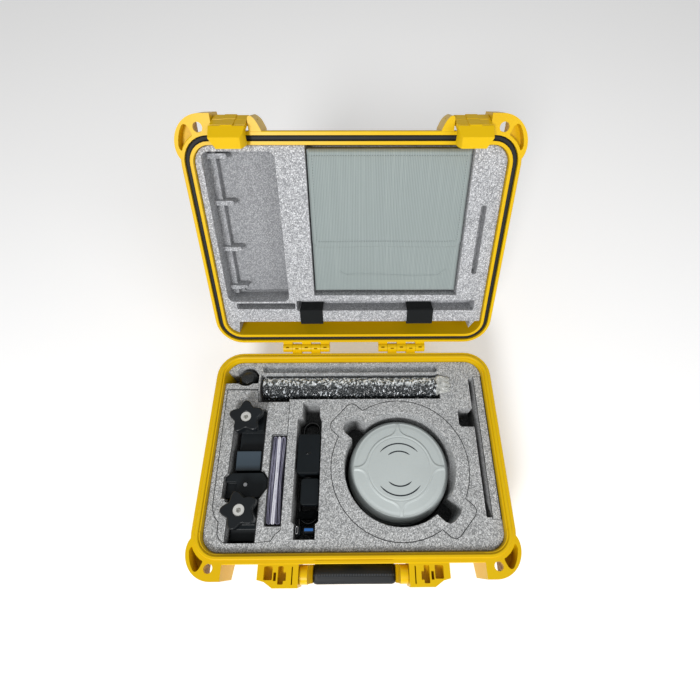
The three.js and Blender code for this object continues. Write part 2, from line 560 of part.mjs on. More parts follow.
// ---------------------------------------------------------------- latches
/**
 * A latch in its latched position: two rows of stepped plates below a pivot barrel, then a pull tab whose
 * toe reaches under the base's flange.
 */
function latch(mirror) {
  const [x0, x1] = LATCH_X;
  const step = (x1 - x0) / 3;
  const at = ([s, k]) => [LATCH_PIVOT_S + s, LATCH_PIVOT_K + k];
  const inside = [[-2.6, -28], [0.3, -25], [0.3, -6], [-4.4, -3], [-4.4, 3]].map(at);
  const row = (high, low) => [
    ...[[0.6 + high, 6.2], [3.4 + high, 5], [4.4 + high, 3.4], [4.4 + high, -7.2], [3, -8]].map(at),
    ...[[4.7 + low, -9.4], [4.7 + low, -20.4], [1.8, -21.8], [1.8, -28]].map(at),
    ...inside,
  ];
  const rows = [[0, 0.2], [0.9, 0.9], [0.4, 0.3]].map(([high, low], n) =>
    strap(x0 + n * step, x0 + (n + 1) * step, row(high, low)));
  const tabBand = (ridge) => [
    ...[[1.2, -22.4], [5.6 + ridge, -23.4], [6.2 + ridge, -25.4], [5.4, -27], [-0.6, -37]].map(at),
    [FRONT - 3.4, LATCH_PIVOT_K - 37.6],
    [FRONT - 3.4, LATCH_PIVOT_K - 30],
    [FRONT - 1.6, LATCH_PIVOT_K - 28],
    ...[[-2.6, -28], [0.3, -25], [0.3, -22.6]].map(at),
  ];
  const tab = [0, 0.9, 0].map((ridge, n) => strap(x0 + n * step, x0 + (n + 1) * step, tabBand(ridge)));
  const low = LATCH_PIVOT_K - 40;
  const high = LATCH_PIVOT_K - 26;
  const outerCorner = prism([[x1 + 1, FRONT - 6], [x1 - 7, FRONT - 6], [x1 + 1, FRONT + 9]], low, high);
  const across = new THREE.Shape();
  across.moveTo(x0 - 1, low);
  across.lineTo(x0 + 9, low);
  across.quadraticCurveTo(x0 + 0.6, low + 4, x0 - 1, low + 17);
  const innerCorner = new THREE.ExtrudeGeometry(across, { depth: 30, bevelEnabled: false, curveSegments: 6 });
  innerCorner.rotateX(Math.PI / 2).translate(0, -FRONT + 8, 0);
  const bore = rod("x", 0, -LATCH_PIVOT_S, LATCH_PIVOT_K, PIN_HOLE + 0.1, x0 - 2, x1 + 2);
  const body = cut(union(...rows, ...tab), outerCorner, solid(innerCorner), bore);
  return mirror ? body.mirror([1, 0, 0]) : body;
}

// ---------------------------------------------------------------- receiver
// The receiver's pieces are drawn about its own axis, with its underside at z = 0.
const CIRCLE_SIDES = 48;
const BUTTON_Z = 26;
const SCREW_RADIUS = 47;

function receiverParts() {
  const cover = turned([
    [0, 80], [40, 79.6], [54, 78.6], [57.5, 77.4], [62.6, 72.4], [65.2, 66], [RECEIVER_RADIUS, 54],
    [RECEIVER_RADIUS, 50.3], [63, 50.3], [62.8, 62], [60, 69.5], [54.5, 75], [0, 76.6],
  ], CIRCLE_SIDES);
  const bumper = turned([
    [61.4, 44.3], [66.6, 44.3], [67.4, 45.6], [67.4, 48.4], [66.6, 50], [61.4, 50],
  ], CIRCLE_SIDES);
  const hull = turned([
    [54, 3.3], [60.4, 3.3], [64.4, 12], [65.8, 26], [65.8, 44],
    [62.6, 44], [62.6, 26], [61.2, 13], [58, 6.6], [54, 6.6],
  ], CIRCLE_SIDES);
  const buttonHole = rod("y", 0, 0, BUTTON_Z, 6.4, -70, -55, 20);
  const windowHole = block(-12, 12, -70, -52, BUTTON_Z + 9.7, BUTTON_Z + 15.3);
  const portHole = block(-9.4, 9.4, 55, 70, BUTTON_Z - 5.4, BUTTON_Z + 5.4);
  const bottom = cut(
    turned([[13.4, 0], [58.4, 0], [60.2, 1.4], [60.2, 3], [53.6, 3], [53.6, 6.4], [13.4, 6.4]], CIRCLE_SIDES),
    rod("z", 34, 24, 0, 6.6, -1, 9, 16),
    ...screwPlaces().map(([x, y]) => rod("z", x, y, 0, 3.3, -1, 2.2, 10)),
  );
  const screws = screwPlaces().map(([x, y], i) =>
    [`bottom_screw_${i + 1}`, rod("z", x, y, 0, 3, 0.4, 2, 10), STEEL]);
  const standoffs = screwPlaces().map(([x, y]) => rod("z", x, y, 0, 2.5, 31, 36.9, 10));
  const plate = turned([[0, 29], [59.4, 29], [59.4, 32], [0, 32]], 32);
  const chassis = union(cut(plate, rod("z", 0, 0, 0, 13.4, 20, 40, 16)), ...standoffs);
  const pack = block(17, 50, -29, 14, 7.2, 27.6);
  const battery = union(...bothSides(pack), block(-30, 30, -29, -17, 7.2, 22));
  const shield = union(block(-38, -8, -6, 26, 39, 43), block(-20, 30, -28, 0, 39, 42.4));
  const patch = union(block(-26, 26, -26, 26, 58.2, 66), rod("z", 0, 0, 0, 19, 66, 66.8, 24));
  const antennaPort = turned([[0, 1], [6.2, 1], [6.2, 3], [5, 3.4], [5, 13], [0, 13]], 16);
  const window = block(-11.7, 11.7, -65.2, -59.6, BUTTON_Z + 10, BUTTON_Z + 15);
  return [
    ["receiver_top_cover", cover, GREY_PLASTIC],
    ["receiver_bumper_ring", bumper, DARK_GREY],
    ["receiver_lower_housing", cut(hull, buttonHole, windowHole, portHole), DARK_GREY],
    ["receiver_bottom_plate", bottom, DARK_GREY],
    ...screws,
    ["pole_thread_insert", turned([[7.95, 0.4], [13.1, 0.4], [13.1, 22], [7.95, 22]], 24), BRASS],
    ["uhf_antenna_port", antennaPort.translate([34, 24, 0]), BRASS],
    ["battery_pack", battery, CELL_WRAP],
    ["inner_chassis", chassis, DARK_METAL],
    ["main_board", turned([[0, 37.2], [56, 37.2], [56, 38.7], [0, 38.7]], 32), CIRCUIT],
    ["board_shield", shield, STEEL],
    ["antenna_ground_plane", turned([[0, 55.6], [58, 55.6], [58, 57.8], [0, 57.8]], 32), STEEL],
    ["gnss_patch_antenna", patch, CERAMIC],
    ["status_window", window, BLACK_PLASTIC],
    ["data_port_cover", block(-9, 9, 60, 65.6, BUTTON_Z - 5, BUTTON_Z + 5), BLACK_RUBBER],
  ];
}

function screwPlaces() {
  return [45, 135, 225, 315].map((angle) => {
    const a = THREE.MathUtils.degToRad(angle);
    return [SCREW_RADIUS * Math.cos(a), SCREW_RADIUS * Math.sin(a)];
  });
}

const powerButton = () => rod("y", 0, 0, BUTTON_Z, 6, -67.2, -60.4, 20);

// ---------------------------------------------------------------- pole clamp
/** A five-lobed knob at (x, s) with one lobe pointing along tip, in degrees. */
function starKnob(x, s, tip) {
  const shape = new THREE.Shape();
  const steps = 70;
  const start = THREE.MathUtils.degToRad(tip);
  for (let i = 0; i < steps; i += 1) {
    const a = (i / steps) * Math.PI * 2;
    const r = KNOB_RADIUS - KNOB_SCALLOP + KNOB_SCALLOP * Math.cos(5 * (a - start));
    if (i === 0) shape.moveTo(r * Math.cos(a), r * Math.sin(a));
    else shape.lineTo(r * Math.cos(a), r * Math.sin(a));
  }
  const rounding = { bevelSize: 1.2, bevelThickness: 1.2, bevelOffset: -1.2, bevelSegments: 1 };
  const geometry = new THREE.ExtrudeGeometry(shape, { depth: KNOB_THICKNESS - 2.4, ...rounding });
  const body = solid(geometry.translate(x, -s, KNOB_Z + 1.2));
  const hub = rod("z", x, -s, 0, 9, KNOB_Z - 6, KNOB_Z + 2, 20);
  return cut(union(body, hub), rod("z", x, -s, 0, 7.2, KNOB_Z - 8, KNOB_Z + KNOB_THICKNESS + 1, 20));
}

/** A socket screw with its hexagon recess, standing in a knob. */
function knobScrew(x, s) {
  const body = union(
    rod("z", x, -s, 0, 6.8, KNOB_Z - 5.6, KNOB_Z + KNOB_THICKNESS - 1.2, 20),
    rod("z", x, -s, 0, 4, KNOB_Z - 28, KNOB_Z - 5, 12),
  );
  return cut(body, rod("z", x, -s, 0, 3.2, KNOB_Z + 5, KNOB_Z + KNOB_THICKNESS, 6));
}

function clampArm() {
  const bar = strap(-152, -121, [
    [93, 62], [93, 96], [119, 96], [121, 88], [143, 86],
    [147, 97.6], [171, 95], [174, 73], [253.6, 73], [253.6, 62],
  ]);
  const bore = rod("z", KNOB_UPPER[0], -KNOB_UPPER[1], 0, 4.4, 55, 110, 12);
  return cut(bar, bore, rod("z", KNOB_LOWER[0], -KNOB_LOWER[1], 0, 4.4, 55, 110, 12));
}

function clampBlock() {
  const outline = [
    [-162, 181], [-156.5, 174.6], [-116, 174.6], [-110, 182.4], [-110, 193.6], [-118, 204.6], [-162, 204.6],
  ];
  const body = prism(outline, 73 + GAP, 96.5);
  const step = block(-163, -148, -206, -186, 90, 100);
  const screwSeat = rod("z", -137, -189, 0, 2.8, 92, 99, 10);
  return cut(body, step, screwSeat);
}

function clampTail() {
  const foot = 73 + GAP;
  const bar = strap(-151, -120, [[205, foot], [205, 95], [236, 95], [240, 88], [253.6, 86], [253.6, foot]]);
  return cut(bar, rod("z", KNOB_LOWER[0], -KNOB_LOWER[1], 0, 4.4, 55, 110, 12));
}

const clampScrew = () => rod("z", -137, -189, 0, 2.5, 92.2, 97, 10);

// ---------------------------------------------------------------- pole, charger, cable, papers
function poleParts() {
  const wrap = cut(
    rod("x", 0, -POLE_S, POLE_Z, WRAP_RADIUS, -127, 118.5, 24),
    rod("x", 0, -POLE_S, POLE_Z, WRAP_RADIUS - 1.9, -129, 120, 24),
  );
  const tube = union(
    rod("x", 0, -POLE_S, POLE_Z, 12.5, -122, 112, 24),
    rod("x", 0, -POLE_S, POLE_Z, 7.7, -127, 117, 16),
    rod("x", 0, -POLE_S, POLE_Z, 14, -96, -84, 24),
  );
  return [["extension_pole", tube, DARK_METAL], ["pole_wrap", wrap, FILM]];
}

function poleAdapter() {
  const profile = [
    [0, 0], [11, 0], [11, 12], [13.2, 14], [13.8, 18], [12.6, 24], [9, 28.6], [4, 30.6], [0, 31],
  ];
  return turned(profile, 24).translate([-152, -41, FOAM_Z - 33.6]);
}

function chargerParts() {
  const rounded = (x0, x1, s0, s1, z0, z1, r) => prism(roundRect(x0, x1, s0, s1, r), z0, z1, 3);
  const top = RIM_Z - 8;
  const low = HANK_Z + HANK_TURNS * HANK_PITCH + CORD_DIAMETER / 2 + GAP;
  return [
    ["wall_charger", rounded(-73.4, -44.4, 125, 176, low, top, 4), BLACK_PLASTIC],
    ["usb_hub_block", rounded(-67, -45, 181, 213, low + 6, top - 6, 3), BLACK_PLASTIC],
  ];
}

/** The outer shape of the wound cable: a flat ring with round ends. */
function cableHank() {
  const r = HANK_RADIUS + CORD_DIAMETER / 2;
  const hole = HANK_RADIUS - CORD_DIAMETER / 2;
  const [s0, s1] = HANK_S;
  const z0 = HANK_Z - CORD_DIAMETER / 2;
  const z1 = HANK_Z + HANK_TURNS * HANK_PITCH + CORD_DIAMETER / 2;
  const ring = (radius, a, b) => {
    const outline = roundRect(HANK_X - radius, HANK_X + radius, s0 - radius, s1 + radius, radius - 0.01);
    return prism(outline, a, b, 8);
  };
  return cut(ring(r, z0, z1), ring(hole, z0 - 1, z1 + 1));
}

// The cable's two ends, from the hank up to each plug, as [x, s, z].
const USB_A_TAIL = [
  [-48.8, 232.7, HANK_Z + 0.3], [-49.3, 235.4, HANK_Z + 1.1], [-50.2, 238.6, HANK_Z + 3.2],
  [-51, 240.9, HANK_Z + 6.4], [-51.4, 241.6, HANK_Z + 9.6], [-51.4, 241.6, HANK_Z + 12],
];
const USB_C_TAIL = [
  [-70.3, 233, HANK_Z + 11.4], [-69.9, 235.8, HANK_Z + 12.4], [-69.2, 238.9, HANK_Z + 14.6],
  [-68.6, 240.9, HANK_Z + 17.8], [-68.4, 241.6, HANK_Z + 20.6], [-68.4, 241.6, HANK_Z + 23],
];

function tube(points, radius, steps) {
  const curve = new THREE.CatmullRomCurve3(points.map(([x, s, z]) => new THREE.Vector3(x, -s, z)));
  const section = new THREE.Shape();
  section.absarc(0, 0, radius, 0, Math.PI * 2);
  return solid(new THREE.ExtrudeGeometry(section, { steps, extrudePath: curve, curveSegments: 4 }));
}

/** A moulded plug body with its metal end, pointing up. */
function plug(x, s, z0, size, metal) {
  const box = ([w, d], r) => roundRect(x - w / 2, x + w / 2, s - d / 2, s + d / 2, r);
  const top = z0 + size[2];
  const body = prism(box(size, 1.8), z0, top, 3);
  const end = prism(box(metal, Math.min(metal[0], metal[1]) * 0.3), top - 0.5, top + metal[2], 3);
  return union(body, end);
}

function cableParts() {
  return [
    ["cable_hank", cableHank(), BLACK_RUBBER],
    ["usb_a_tail", tube(USB_A_TAIL, CORD_DIAMETER / 2, 8), BLACK_RUBBER],
    ["usb_c_tail", tube(USB_C_TAIL, CORD_DIAMETER / 2, 8), BLACK_RUBBER],
    ["usb_a_plug", plug(-54.2, 242.4, HANK_Z + 12.3, [14, 8, 20], [12, 4.6, 11]), BLACK_PLASTIC],
    ["usb_c_plug", plug(-68.2, 242.4, HANK_Z + 23.3, [6.4, 11, 15], [2.6, 8.4, 6]), BLACK_PLASTIC],
  ];
}

function documentPacket() {
  return prism(roundRect(-106.8, -89.4, 127, 237, 5), FOAM_Z - 33, FOAM_Z - 1, 3);
}

function purgeValve() {
  const profile = [[0, 0], [8, 0], [8, 3.4], [10.6, 3.8], [10.6, 5.2], [9.2, 6.6], [0, 6.8]];
  const body = turned(profile, 20).rotate([90, 0, 0]);
  return body.translate([0, -FRONT + 12, RIM_Z - 34]);
}

// ---------------------------------------------------------------- assembly
const base = new THREE.Group();
base.position.set(0, HINGE_Y, 0);
base.add(
  named("base_shell", baseShell(), YELLOW),
  named("base_foam", baseFoam(), FOAM),
  named("receiver_foam_ring", receiverFoamRing(), FOAM),
  named("clamp_foam_insert", clampFoamInsert(), FOAM),
  named("side_foam_strip", sideFoamStrip(), FOAM),
  named("purge_valve", purgeValve(), BLACK_PLASTIC),
  named("handle_frame", handleFrame(), YELLOW),
  named("handle_grip", handleGrip(), BLACK_RUBBER),
  named("clamp_arm", clampArm(), BLACK_PLASTIC),
  named("clamp_block", clampBlock(), BLACK_PLASTIC),
  named("clamp_tail", clampTail(), BLACK_PLASTIC),
  named("clamp_screw", clampScrew(), STEEL),
  named("knob_upper", starKnob(...KNOB_UPPER, KNOB_TIP.upper), BLACK_PLASTIC),
  named("knob_upper_screw", knobScrew(...KNOB_UPPER), STEEL),
  named("knob_lower", starKnob(...KNOB_LOWER, KNOB_TIP.lower), BLACK_PLASTIC),
  named("knob_lower_screw", knobScrew(...KNOB_LOWER), STEEL),
  named("pole_adapter", poleAdapter(), BLACK_RUBBER),
  named("document_packet", documentPacket(), PAPER),
);
const hingePin = rod("x", 0, 0, RIM_Z, PIN_RADIUS, knuckleStart(0) + 0.5, knuckleStart(5) - 0.5, 12);
const pins = [...pairOf("hinge_pin", hingePin), ...handlePins()];
for (const [name, body, material] of [...pins, ...poleParts(), ...chargerParts(), ...cableParts()]) {
  base.add(named(name, body, material));
}

const receiver = new THREE.Group();
receiver.position.set(RECEIVER_X, -RECEIVER_S, RECEIVER_Z);
for (const [name, body, material] of receiverParts()) receiver.add(named(name, body, material));
receiver.add(named("power_button", powerButton(), BLACK_RUBBER));
base.add(receiver);

const lid = new THREE.Group();
lid.position.set(0, 0, RIM_Z);
lid.rotation.x = THREE.MathUtils.degToRad(-LID_OPEN);
lid.add(
  named("lid_shell", lidShell(), YELLOW),
  named("lid_gasket", lidGasket(), BLACK_RUBBER),
  named("lid_foam", lidFoam(), FOAM),
  named("strap_left", strap(-74, -43, STRAP_BAND), WEBBING),
  named("strap_right", strap(74, 110, STRAP_BAND), WEBBING),
  named("accessory_pouch", lidPouch(), FABRIC),
);
const latchPin = rod("x", 0, -LATCH_PIVOT_S, LATCH_PIVOT_K, LATCH_PIN_RADIUS, 104, 157, 12);
for (const [name, body, material] of pairOf("latch_pin", latchPin)) lid.add(named(name, body, material));
for (const [name, mirrored] of [["latch_left", true], ["latch_right", false]]) {
  const swing = new THREE.Group();
  swing.position.set(0, -LATCH_PIVOT_S, LATCH_PIVOT_K);
  swing.rotation.x = THREE.MathUtils.degToRad(LATCH_REST);
  const body = latch(mirrored).translate([0, LATCH_PIVOT_S, -LATCH_PIVOT_K]);
  swing.add(named(name, body, YELLOW));
  lid.add(swing);
}
base.add(lid);

const kit = new THREE.Group();
kit.add(base);
export default kit;
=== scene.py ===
"""A GNSS receiver kit in its open carrying case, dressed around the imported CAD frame.

Places given to base_point, lid_point and on_receiver are in millimetres, and so are the sizes that they are
made from and every name that ends in _MM. All other lengths are in metres.
"""

import json
import math

import bmesh
import bpy
from mathutils import Matrix, Vector, noise


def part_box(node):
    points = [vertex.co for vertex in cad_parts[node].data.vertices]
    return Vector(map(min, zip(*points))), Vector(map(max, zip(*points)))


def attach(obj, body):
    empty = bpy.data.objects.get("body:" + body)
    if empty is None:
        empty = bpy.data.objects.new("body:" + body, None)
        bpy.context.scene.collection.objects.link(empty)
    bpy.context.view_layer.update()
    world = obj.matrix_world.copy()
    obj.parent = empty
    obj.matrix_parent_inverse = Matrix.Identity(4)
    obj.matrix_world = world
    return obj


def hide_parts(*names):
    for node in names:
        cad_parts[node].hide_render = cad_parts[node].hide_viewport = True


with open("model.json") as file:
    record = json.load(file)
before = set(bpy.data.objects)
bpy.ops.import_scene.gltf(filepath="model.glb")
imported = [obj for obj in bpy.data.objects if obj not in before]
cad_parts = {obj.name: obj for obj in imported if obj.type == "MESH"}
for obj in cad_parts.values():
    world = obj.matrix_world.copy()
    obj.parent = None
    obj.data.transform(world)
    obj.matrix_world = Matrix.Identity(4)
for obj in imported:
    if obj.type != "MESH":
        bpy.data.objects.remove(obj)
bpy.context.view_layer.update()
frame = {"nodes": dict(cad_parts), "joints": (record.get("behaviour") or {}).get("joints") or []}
nodes = frame["nodes"]
joints = {joint["name"]: joint for joint in frame["joints"]}

MM = 0.001
HINGE = Vector(joints["lid_hinge"]["pos_m"])
LID_OPEN = math.radians(-joints["lid_hinge"]["range_deg"][0])
LID_TURN = Matrix.Translation(HINGE) @ Matrix.Rotation(-LID_OPEN, 4, "X")
RIM_Z_MM = HINGE.z / MM
UP = Vector((0, 0, 1))
REAR = Vector((0, 1, 0))
LID_BACK = Matrix.Rotation(-LID_OPEN, 3, "X") @ UP
LID_SLOPE = LID_OPEN - math.pi / 2  # how far the open lid leans back from upright


def base_point(x, s, z):
    """A point x, s and z millimetres from the case's middle, its hinge axis and its underside."""
    return Vector((x * MM, HINGE.y - s * MM, z * MM))


def lid_point(x, s, k):
    """A point of the lid: s from the hinge axis and k from its rim plane towards its back, in millimetres."""
    return LID_TURN @ Vector((x * MM, -s * MM, k * MM))


# ---------------------------------------------------------------- camera, light and floor
CAMERA_PLACE = (0.00645, -0.1312, HINGE.z + 0.5284)
CAMERA_PITCH, CAMERA_YAW, CAMERA_ROLL = (math.radians(angle) for angle in (27.13, -0.91, 0.54))
LENS_MM = 21.08
SENSOR_MM = 36
LENS_SHIFT = -0.0163
FLOOR_SIZE = 40
FLOOR_GLOW = 0.22
SKY_STRENGTH = 0.34
LAMPS = [  # name, place, target, size and power
    ("key", (-0.50, -1.50, 1.32), (0, 0.05, 0.15), 0.55, 31),
    ("fill", (0.9, -0.8, 1.2), (0, 0.05, 0.1), 0.9, 6),
    ("back", (0.1, 1.1, 1.5), (0, 0.0, 0.1), 0.7, 1),
]


def add_camera():
    camera = bpy.data.objects.new("camera", bpy.data.cameras.new("camera"))
    bpy.context.scene.collection.objects.link(camera)
    turn = Matrix.Rotation(CAMERA_YAW, 4, "Z") @ Matrix.Rotation(CAMERA_PITCH, 4, "X")
    turn = turn @ Matrix.Rotation(CAMERA_ROLL, 4, "Z")
    camera.matrix_world = Matrix.Translation(CAMERA_PLACE) @ turn
    camera.data.lens = LENS_MM
    camera.data.sensor_width = SENSOR_MM
    camera.data.shift_x = LENS_SHIFT
    camera.data.clip_start = 0.01
    bpy.context.scene.camera = camera


def add_light(name, place, target, size, power):
    lamp = bpy.data.lights.new(name, "AREA")
    lamp.shape = "DISK"
    lamp.size = size
    lamp.energy = power
    light = bpy.data.objects.new(name, lamp)
    light.location = place
    light.rotation_euler = (Vector(target) - Vector(place)).to_track_quat("-Z", "Y").to_euler()
    bpy.context.scene.collection.objects.link(light)


def add_stage():
    bpy.ops.mesh.primitive_plane_add(size=FLOOR_SIZE)
    floor = bpy.context.object
    floor.name = "floor"
    glow = {"Emission_Color": (1, 1, 1, 1), "Emission_Strength": FLOOR_GLOW}
    paint = Paint("floor_white", (0.94, 0.94, 0.94), 0.9, **glow)
    floor.data.materials.append(paint.material)
    world = bpy.data.worlds.new("studio")
    world.use_nodes = True
    sky = world.node_tree.nodes["Background"]
    sky.inputs["Color"].default_value = (1, 1, 1, 1)
    sky.inputs["Strength"].default_value = SKY_STRENGTH
    bpy.context.scene.world = world
    for lamp in LAMPS:
        add_light(*lamp)
    view = bpy.context.scene.view_settings
    view.view_transform = "Standard"
    view.look = "None"


# ---------------------------------------------------------------- materials
MIX_FACTOR, MIX_BASE, MIX_OVER, MIX_RESULT = 0, 6, 7, 2  # a Mix node's sockets when it mixes colours
FOAM_COLOURS = (0.57, 0.58, 0.585), (0.16, 0.165, 0.168), (0.84, 0.855, 0.86)  # middle, dark and pale beads
LID_FOAM_COLOURS = (0.54, 0.55, 0.575), (0.20, 0.205, 0.215), (0.86, 0.87, 0.89)
BEADS_PER_METRE = 820


def shade_of(colour, factor):
    return tuple(c * factor for c in colour)


class Paint:
    """A Principled material built up by short calls; coordinates are the piece's own, in metres."""

    def __init__(self, name, colour, rough, metal=0.0, **sockets):
        self.material = bpy.data.materials.new(name)
        self.material.use_nodes = True
        self.tree = self.material.node_tree
        self.shader = self.tree.nodes["Principled BSDF"]
        self.coordinates = self.add("TexCoord").outputs["Object"]
        self.colour = (*colour, 1.0)
        self.shader.inputs["Base Color"].default_value = self.colour
        self.shader.inputs["Roughness"].default_value = rough
        self.shader.inputs["Metallic"].default_value = metal
        for socket, value in sockets.items():
            self.shader.inputs[socket.replace("_", " ")].default_value = value

    def add(self, kind, **settings):
        node = self.tree.nodes.new("ShaderNode" + kind)
        for key, value in settings.items():
            setattr(node, key, value)
        return node

    def link(self, source, target):
        self.tree.links.new(source, target)

    def scaled(self, x=1.0, y=1.0, z=1.0, turn=(0, 0, 0)):
        mapping = self.add("Mapping")
        mapping.inputs["Scale"].default_value = (x, y, z)
        mapping.inputs["Rotation"].default_value = turn
        self.link(self.coordinates, mapping.inputs["Vector"])
        return mapping.outputs["Vector"]

    def noise(self, scale, detail=3.0, rough=0.5, vector=None):
        node = self.add("TexNoise")
        self.link(vector or self.coordinates, node.inputs["Vector"])
        node.inputs["Scale"].default_value = scale
        node.inputs["Detail"].default_value = detail
        node.inputs["Roughness"].default_value = rough
        return node.outputs["Fac"]

    def cells(self, scale, feature="F1", output="Distance", vector=None):
        node = self.add("TexVoronoi", feature=feature)
        self.link(vector or self.coordinates, node.inputs["Vector"])
        node.inputs["Scale"].default_value = scale
        return node.outputs[output]

    def wave(self, scale, direction="X", vector=None, distortion=0.0):
        node = self.add("TexWave", bands_direction=direction)
        self.link(vector or self.coordinates, node.inputs["Vector"])
        node.inputs["Scale"].default_value = scale
        node.inputs["Distortion"].default_value = distortion
        return node.outputs["Fac"]

    def ramp(self, source, *stops):
        node = self.add("ValToRGB")
        while len(node.color_ramp.elements) < len(stops):
            node.color_ramp.elements.new(0.5)
        for element, (place, value) in zip(node.color_ramp.elements, stops):
            element.position = place
            element.color = (*value, 1) if isinstance(value, tuple) else (value, value, value, 1)
        self.link(source, node.inputs["Fac"])
        return node.outputs["Color"]

    def math(self, operation, a, b=None):
        node = self.add("Math", operation=operation)
        for socket, value in zip(node.inputs, (a, b)):
            if isinstance(value, (int, float)):
                socket.default_value = value
            elif value is not None:
                self.link(value, socket)
        return node.outputs["Value"]

    def along(self, direction, low, high):
        """0 to 1 along a direction between two distances from the origin, in metres."""
        dot = self.add("VectorMath", operation="DOT_PRODUCT")
        self.link(self.coordinates, dot.inputs[0])
        dot.inputs[1].default_value = direction
        node = self.add("MapRange")
        self.link(dot.outputs["Value"], node.inputs["Value"])
        node.inputs["From Min"].default_value = low
        node.inputs["From Max"].default_value = high
        return node.outputs["Result"]

    def tint(self, mask, colour, amount=1.0):
        """Mixes a second colour over the base colour where mask is high."""
        node = self.add("Mix", data_type="RGBA")
        factor = self.math("MULTIPLY", mask, amount)
        self.link(factor, node.inputs[MIX_FACTOR])
        base = self.shader.inputs["Base Color"]
        if base.links:
            self.link(base.links[0].from_socket, node.inputs[MIX_BASE])
        else:
            node.inputs[MIX_BASE].default_value = self.colour
        node.inputs[MIX_OVER].default_value = (*colour, 1)
        self.link(node.outputs[MIX_RESULT], base)

    def rough(self, mask, low, high):
        node = self.add("MapRange")
        self.link(mask, node.inputs["Value"])
        node.inputs["To Min"].default_value = low
        node.inputs["To Max"].default_value = high
        self.link(node.outputs["Result"], self.shader.inputs["Roughness"])

    def bump(self, height, strength, distance=0.0005):
        node = self.add("Bump")
        node.inputs["Strength"].default_value = strength
        node.inputs["Distance"].default_value = distance
        self.link(height, node.inputs["Height"])
        normal = self.shader.inputs["Normal"]
        if normal.links:
            self.link(normal.links[0].from_socket, node.inputs["Normal"])
        self.link(node.outputs["Normal"], normal)


def yellow_plastic():
    paint = Paint("yellow_plastic", (0.73, 0.468, 0.001), 0.34, Specular_IOR_Level=0.22)
    patches = paint.noise(14, 3)
    paint.tint(paint.ramp(patches, (0.35, 0.0), (0.7, 1.0)), (0.68, 0.40, 0.001), 0.55)
    scuffs = paint.noise(260, 6, 0.7, paint.scaled(1, 1, 0.3))
    paint.tint(paint.ramp(scuffs, (0.62, 0.0), (0.72, 1.0)), (0.85, 0.60, 0.03), 0.25)
    paint.rough(patches, 0.28, 0.42)
    paint.bump(paint.noise(2600, 2), 0.12, 0.00008)
    return paint.material


def bead_foam(name, base, dark, pale, pocket_shade=None):
    """Expanded bead foam: small beads from pale to dark, with dark pits between them.

    The optional last argument is painted shade for the pockets: a direction, the two distances along it
    between which the foam darkens, a colour and an amount.
    """
    paint = Paint(name, base, 0.92, Sheen_Weight=0.1)
    beads = paint.cells(BEADS_PER_METRE, output="Color")
    paint.tint(paint.ramp(beads, (0.28, 1.0), (0.50, 0.0)), dark, 0.75)
    paint.tint(paint.ramp(beads, (0.60, 0.0), (0.80, 1.0)), pale, 0.85)
    fine = paint.cells(1500, output="Color")
    paint.tint(paint.ramp(fine, (0.25, 1.0), (0.42, 0.0)), dark, 0.7)
    seams = paint.cells(BEADS_PER_METRE, "DISTANCE_TO_EDGE")
    paint.tint(paint.ramp(seams, (0.03, 1.0), (0.13, 0.0)), dark, 0.4)
    paint.tint(paint.ramp(paint.noise(24, 4), (0.35, 0.0), (0.75, 1.0)), dark, 0.08)
    # painted shade: the foam darkens deeper into its pockets, where less light reaches
    if pocket_shade:
        direction, shallow, deep, shade, amount = pocket_shade
        paint.tint(paint.along(direction, shallow, deep), shade, amount)
    paint.bump(paint.ramp(seams, (0.0, 0.0), (0.25, 1.0)), 0.5, 0.0003)
    paint.bump(paint.noise(1900, 3), 0.35, 0.00015)
    return paint.material


def black_rubber():
    colour = (0.009, 0.010, 0.011)
    paint = Paint("black_rubber", colour, 0.62, Specular_IOR_Level=0.3)
    paint.tint(paint.noise(60, 4), shade_of(colour, 1.9), 0.5)
    paint.bump(paint.noise(3200, 2), 0.2, 0.0001)
    return paint.material


def black_plastic(name="black_plastic", colour=(0.006, 0.0085, 0.0105), rough=0.42, gloss=0.3):
    paint = Paint(name, colour, rough, Specular_IOR_Level=gloss)
    grain = paint.noise(2400, 3)
    paint.tint(paint.ramp(paint.noise(35, 5), (0.4, 0.0), (0.8, 1.0)), shade_of(colour, 1.8), 0.5)
    paint.rough(grain, rough - 0.08, rough + 0.12)
    paint.bump(grain, 0.25, 0.0001)
    return paint.material


def receiver_shell(name="receiver_shell", colour=(0.49, 0.535, 0.53), edge=None):
    """Painted plastic; edge is a height in metres under which painted shade darkens the cover's sloping rim.
    """
    paint = Paint(name, colour, 0.46, Coat_Weight=0.1, Coat_Roughness=0.3)
    grain = paint.noise(3400, 3)
    paint.tint(paint.ramp(paint.noise(18, 4), (0.35, 0.0), (0.75, 1.0)), shade_of(colour, 0.86), 0.5)
    if edge:
        # painted shade: the sloping rim below that height is darkened as if turned from the light
        paint.tint(paint.along(UP, edge, edge - 0.004), shade_of(colour, 0.7), 0.85)
    paint.rough(grain, 0.4, 0.54)
    paint.bump(grain, 0.3, 0.00012)
    return paint.material


def steel(name="steel", colour=(0.62, 0.63, 0.65), rough=0.28):
    paint = Paint(name, colour, rough, 1.0)
    lines = paint.noise(900, 4, 0.6, paint.scaled(1, 1, 0.06))
    paint.tint(lines, shade_of(colour, 0.7), 0.5)
    paint.rough(lines, rough - 0.1, rough + 0.15)
    paint.bump(lines, 0.15, 0.00005)
    return paint.material


def webbing():
    paint = Paint("webbing", (0.004, 0.0055, 0.0065), 0.85, Sheen_Weight=0.03, Specular_IOR_Level=0.3)
    ribs = paint.wave(330, "Y", paint.scaled(turn=(LID_SLOPE, 0, 0)))
    warp = paint.wave(520, "X")
    weave = paint.math("MULTIPLY", ribs, warp)
    paint.tint(weave, (0.009, 0.012, 0.0135), 0.7)
    paint.bump(weave, 0.7, 0.0004)
    return paint.material


